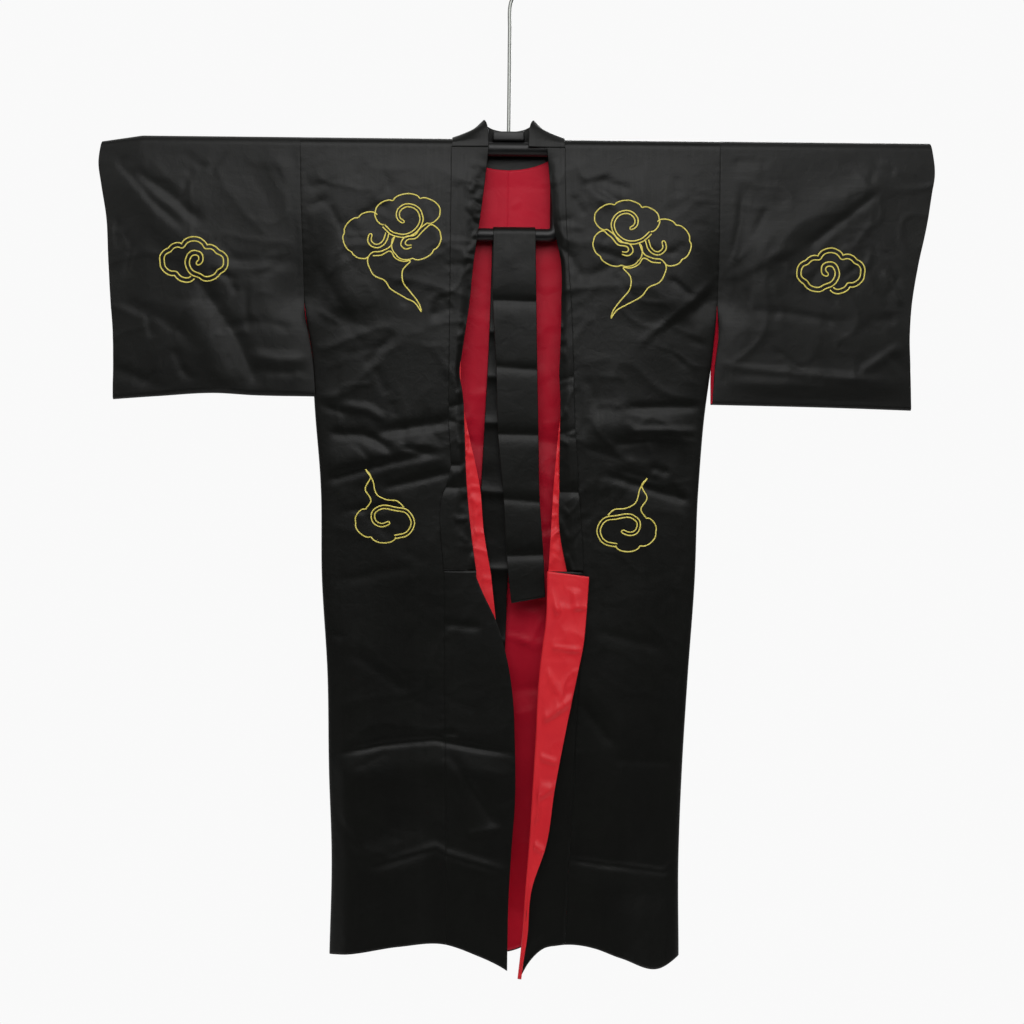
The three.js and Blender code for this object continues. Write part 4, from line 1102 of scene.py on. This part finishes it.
def add_hanger():
    """Straight pole with a lower bar for the belt, and a wire hook in a moulded socket."""
    pole = tube("pole", [(x, 0, POLE_Z) for x in np.linspace(POLE_LEFT + 3, POLE_RIGHT - 3, 60)],
                POLE_RADIUS, 40)
    made = piece("pole_plastic", pole, "black_plastic", PLASTIC_FINISH, nodes=["pole"])
    bevel = made.modifiers.new("edge", "BEVEL")
    bevel.width = 0.002
    bevel.segments = 3

    socket = rounded_box("hook_socket", SOCKET["width"], SOCKET["depth"], SOCKET["height"], 3,
                         (0, 0, POLE_Z + POLE_RADIUS + GAP + SOCKET["height"] / 2))
    piece("hook_socket_plastic", socket, "black_plastic", PLASTIC_FINISH, nodes=["hook_socket"])

    centre_z = HOOK_WIRE - HOOK_BEND
    foot = POLE_Z + POLE_RADIUS + SOCKET["height"] + 2 * GAP
    angles = [math.radians(a) for a in (-35, -5, 25, 55, 90, 125, 155, 190)]
    bend = [(HOOK_BEND * math.cos(a), 0, centre_z + HOOK_BEND * math.sin(a)) for a in angles]
    path = smooth_path([(0, 0, foot), (0, 0, -180), (0, 0, -110), (1, 0, -62), *bend], 180)
    piece("hook_wire", tube("hook", path, HOOK_WIRE, 24, rounded=6), "steel_wire", STEEL_FINISH,
          nodes=["hook"])

    top = POLE_Z - POLE_RADIUS - GAP
    turn = np.linspace(0, 1, 13)[1:-1, None]
    corner = ((1 - turn)**2 * (-BAR_HALF, 0, BAR_Z + BAR_CORNER)
              + 2 * turn * (1 - turn) * (-BAR_HALF, 0, BAR_Z)
              + turn**2 * (BAR_CORNER - BAR_HALF, 0, BAR_Z))
    arm = [(-BAR_HALF, 0, z) for z in np.linspace(top, BAR_Z + BAR_CORNER, 20)]
    low = [(x, 0, BAR_Z) for x in np.linspace(BAR_CORNER - BAR_HALF, 0, 12)[:-1]]
    left = np.concatenate([arm, corner, low])
    path = np.concatenate([left, [(0, 0, BAR_Z)], left[::-1] * (-1, 1, 1)])
    piece("belt_bar_plastic", tube("belt_bar", path, BAR_RADIUS, 28), "black_plastic",
          PLASTIC_FINISH, nodes=["belt_bar"])


def rounded_box(name, width, depth, height, radius, centre):
    """Box with rounded edges: rows are level rounded rectangles, shrinking towards both ends."""
    ends = np.radians(np.linspace(0, 90, 5))
    rows = [(radius * (1 - np.sin(a)), radius * (1 - np.cos(a))) for a in ends]
    points = []
    for sign in (-1, 1):
        order = rows if sign < 0 else rows[::-1]
        for shrink, rise in order:
            held = radius - shrink
            ring = []
            for quarter, (sx, sy) in enumerate(((1, 1), (-1, 1), (-1, -1), (1, -1))):
                turn = np.radians(np.linspace(0, 90, 6) + 90 * quarter)
                ring.append(np.stack([
                    sx * (width / 2 - radius) + held * np.cos(turn),
                    sy * (depth / 2 - radius) + held * np.sin(turn),
                    0 * turn + sign * (height / 2 - rise),
                ], -1))
            points.append(np.concatenate(ring))
    return surface(name, np.array(points) + centre, wrap=True, caps=True, flip=True)


def arcs(points, bulge):
    """Scallops: a round arc between each pair of neighbours, bulging to the left of the way."""
    points = np.array(points, float)
    made = []
    for start, end in zip(points[:-1], points[1:]):
        chord = end - start
        side = np.array((-chord[1], chord[0]))
        t = np.linspace(0, np.pi, 25)[:, None]
        made.append((start + end) / 2 - np.cos(t) * chord / 2 + np.sin(t) * side * bulge)
    return np.concatenate([made[0], *(arc[1:] for arc in made[1:])])


def evened(line, step):
    """The line with evenly spaced points, its corners softened over about 5 mm."""
    line = np.array(line, float)
    run = np.concatenate([[0], np.cumsum(np.linalg.norm(np.diff(line, axis=0), axis=1))])
    at = np.linspace(0, run[-1], max(6, round(run[-1] / step)))
    even = np.stack([np.interp(at, run, line[:, i]) for i in (0, 1)], -1)
    reach = max(1, round(2.5 / step))
    held = np.pad(even, ((reach, reach), (0, 0)), mode="reflect", reflect_type="odd")
    return sum(held[i:i + len(even)] for i in range(2 * reach + 1)) / (2 * reach + 1)


def ribbon(path, gap):
    """Two lines side by side that join round the path's end."""
    path = evened(path, 1.5)
    step = np.gradient(path, axis=0)
    step /= np.linalg.norm(step, axis=1, keepdims=True)
    side = np.stack([-step[:, 1], step[:, 0]], -1) * gap / 2
    turn = np.linspace(0, np.pi, 9)[1:-1, None]
    cap = path[-1] + np.cos(turn) * side[-1] + np.sin(turn) * step[-1] * gap / 2
    return np.concatenate([path + side, cap, (path - side)[::-1]])


def cloth_front(x, z):
    """Y of the robe's front surface, on the body or on a sleeve."""
    left, right = across(BODY, "side_left", z), across(BODY, "side_right", z)
    depth = body_depth(np.clip(x, left, right), z, -1)
    depth = np.where(x < left, sleeve_depth(x, z, -1, left), depth)
    return -np.where(x > right, sleeve_depth(x, z, -1, right), depth)


def embroider(name, lines, centre, mirrored):
    """Lays gold cords on the cloth along flat lines given about a centre."""
    cords = []
    for line in lines:
        line = evened(np.array(line) * ((-1, 1) if mirrored else (1, 1)) + centre, 1.4)
        x, z = line.T
        wobble = 0.3 * noise(x, z, 9, 71)
        path = np.stack([x + wobble, cloth_front(x, z) - 0.5, z + wobble], -1)
        cords.append(tube(name, path, 1.1, 8))
    joined = bmesh.new()
    for cord in cords:
        joined.from_mesh(cord)
        bpy.data.meshes.remove(cord)
    mesh = bpy.data.meshes.new(name)
    joined.to_mesh(mesh)
    joined.free()
    piece(f"{name}_embroidery", mesh, "gold_thread", GOLD_FINISH)


def add_embroidery():
    """Auspicious clouds in couched gold cord, drawn with scallops, double lines and wavy tails.
    Each is drawn about its own centre as it is on the left and mirrored on the right."""
    ring = np.concatenate([
        arcs([(-2, -32), (-29, -24), (-51, -6), (-39, 11), (-18, 17)], 0.29),
        arcs([(-18, 17), (19, 16)], 0.38)[1:],
        arcs([(19, 16), (38, 9), (51, -6), (40, -21), (12, -30)], 0.27)[1:],
    ])
    curl = smooth_path([(12, -30), (-4, -23), (-11, -8), (-4, 7), (10, 6), (12, -5), (7, -9)], 60)
    sleeve = [ribbon(np.concatenate([ring, curl[1:]]), 7)]

    chest = [
        # Upper cloud, its long curl, and the line back to it
        arcs([(-9, 44), (-22, 66), (6, 82), (50, 86), (82, 66), (62, 47)], 0.24),
        ribbon(smooth_path([(-9, 42), (6, 29), (27, 26), (45, 36), (53, 54), (45, 71), (28, 76),
                            (15, 67), (15, 54), (23, 49)], 110), 5),
        smooth_path([(62, 47), (50, 38), (42, 27), (26, 24), (19, 12), (27, 4), (37, 7)], 70),
        smooth_path([(66, 44), (54, 33), (44, 22), (31, 20), (26, 14), (30, 10), (37, 11)], 70),
        # Outer cloud
        arcs([(-20, 60), (-50, 54), (-72, 30), (-60, 0), (-34, -9)], -0.24),
        ribbon(smooth_path([(-3, 30), (-8, 15), (-21, 8), (-32, 16), (-30, 27)], 60), 5.5),
        # Lower inner cloud
        arcs([(66, 44), (83, 28), (72, 4), (38, -10), (12, -4), (9, 24)], 0.22),
        # Tail
        smooth_path([(9, 24), (2, 8), (-14, 0), (-28, -2), (-35, -16), (-25, -38), (-7, -47),
                     (5, -62), (26, -74), (44, -84), (54, -98)], 130),
        smooth_path([(-26, -7), (-12, -6), (2, 1), (10, -10), (24, -16), (36, -15), (23, -30),
                     (24, -50), (38, -68), (50, -84), (54, -96)], 130),
    ]

    low = [
        smooth_path([(-31, 82), (-22, 70), (-31, 50), (-21, 32), (-30, 17)], 70),
        arcs([(-30, 17), (-45, -5), (-20, -27), (20, -28)], -0.26),
        smooth_path([(-31, 82), (-19, 64), (-13, 43), (3, 33), (22, 31), (33, 21)], 70),
        ribbon(smooth_path([(18, -28), (39, -22), (48, -4), (38, 14), (18, 18), (-2, 21),
                            (-17, 12), (-15, -4), (-3, -9), (8, -5)], 110), 5.5),
    ]
    for name, lines, left, right in (
        ("cloud_sleeve", sleeve, (-511, -487), (528, -494)),
        ("cloud_chest", chest, (-193, -474), (224, -481)),
        ("cloud_low", low, (-197, -911), (201, -921)),
    ):
        embroider(f"{name}_left", lines, left, False)
        embroider(f"{name}_right", lines, right, True)


def add_camera():
    """Level view of the whole robe at the photo's angle, with its slight turn."""
    data = bpy.data.cameras.new("camera")
    data.sensor_width = 36
    data.lens = 36 * CAMERA["distance"] / CAMERA["width"]
    data.clip_end = 50
    camera = bpy.data.objects.new("camera", data)
    camera.location = [CAMERA[k] * MM for k in "xyz"]
    camera.rotation_euler = (math.pi / 2, math.radians(CAMERA["turn"]), 0)
    bpy.context.scene.collection.objects.link(camera)
    bpy.context.scene.camera = camera


def add_light():
    """A white sweep behind the robe, a room in front of it that is light above and dark below,
    and four soft lamps. Their places are in metres."""
    world = bpy.data.worlds.new("studio")
    bpy.context.scene.world = world
    world.use_nodes = True
    tree = world.node_tree
    place = add(tree, "ShaderNodeTexCoord")
    parts = add(tree, "ShaderNodeSeparateXYZ", {0: place.outputs["Generated"]})
    room = add(tree, "ShaderNodeMapRange", {
        0: parts.outputs["Z"], 1: -0.1, 2: 0.12, 3: 0.03, 4: 0.2,
    }, interpolation_type="SMOOTHSTEP")
    sweep = add(tree, "ShaderNodeMapRange", {
        0: parts.outputs["Y"], 1: -0.05, 2: 0.6, 3: room.outputs[0], 4: 0.95,
    }, interpolation_type="SMOOTHSTEP")
    tree.nodes["Background"].inputs["Color"].default_value = (1, 1, 1, 1)
    tree.links.new(sweep.outputs[0], tree.nodes["Background"].inputs["Strength"])

    for name, spot, size, power in (
        ("key", (0.0, -2.3, 0.82), 2.4, 46),
        ("left", (-2.3, -2.0, 0.6), 1.5, 12),
        ("right", (2.3, -2.0, 0.6), 1.5, 12),
        ("rear", (0.6, 2.6, 0.8), 1.8, 45),
    ):
        light = bpy.data.lights.new(name, "AREA")
        light.shape = "DISK"
        light.size = size
        light.energy = power
        lamp = bpy.data.objects.new(name, light)
        lamp.location = spot
        aim = np.array((0, 0, -0.9)) - np.array(spot)
        turn = math.atan2(aim[1], aim[0]) - math.pi / 2
        lamp.rotation_euler = (math.pi / 2 + math.atan2(aim[2], math.hypot(*aim[:2])), 0, turn)
        bpy.context.scene.collection.objects.link(lamp)


def add_floor():
    """Plain pale floor, painted matt."""
    grid = np.stack(np.meshgrid(np.linspace(-FLOOR_HALF, FLOOR_HALF, 9),
                                np.linspace(FLOOR_FRONT, FLOOR_BACK, 9)), -1)
    points = np.concatenate([grid, np.full((9, 9, 1), FLOOR_Z)], -1)
    mesh = surface("floor", points, flip=True)
    material, tree, shader = new_material("floor_paint", Roughness=0.7, Specular_IOR_Level=0.2)
    place = add(tree, "ShaderNodeTexCoord").outputs["Object"]
    feed(tree, shader, Base_Color=two_tone(tree, grain(tree, place, 3), "efefee", "f5f5f4"))
    mesh.materials.append(material)
    floor = bpy.data.objects.new("floor", mesh)
    bpy.context.scene.collection.objects.link(floor)


bpy.context.scene.view_settings.view_transform = "Standard"
add_camera()
add_light()
add_floor()
add_fronts()
add_backs()
add_sleeves()
add_front_collars()
add_back_collar()
add_facings()
add_left_overlap()
add_turned_overlap()
add_belt()
add_hanger()
add_embroidery()
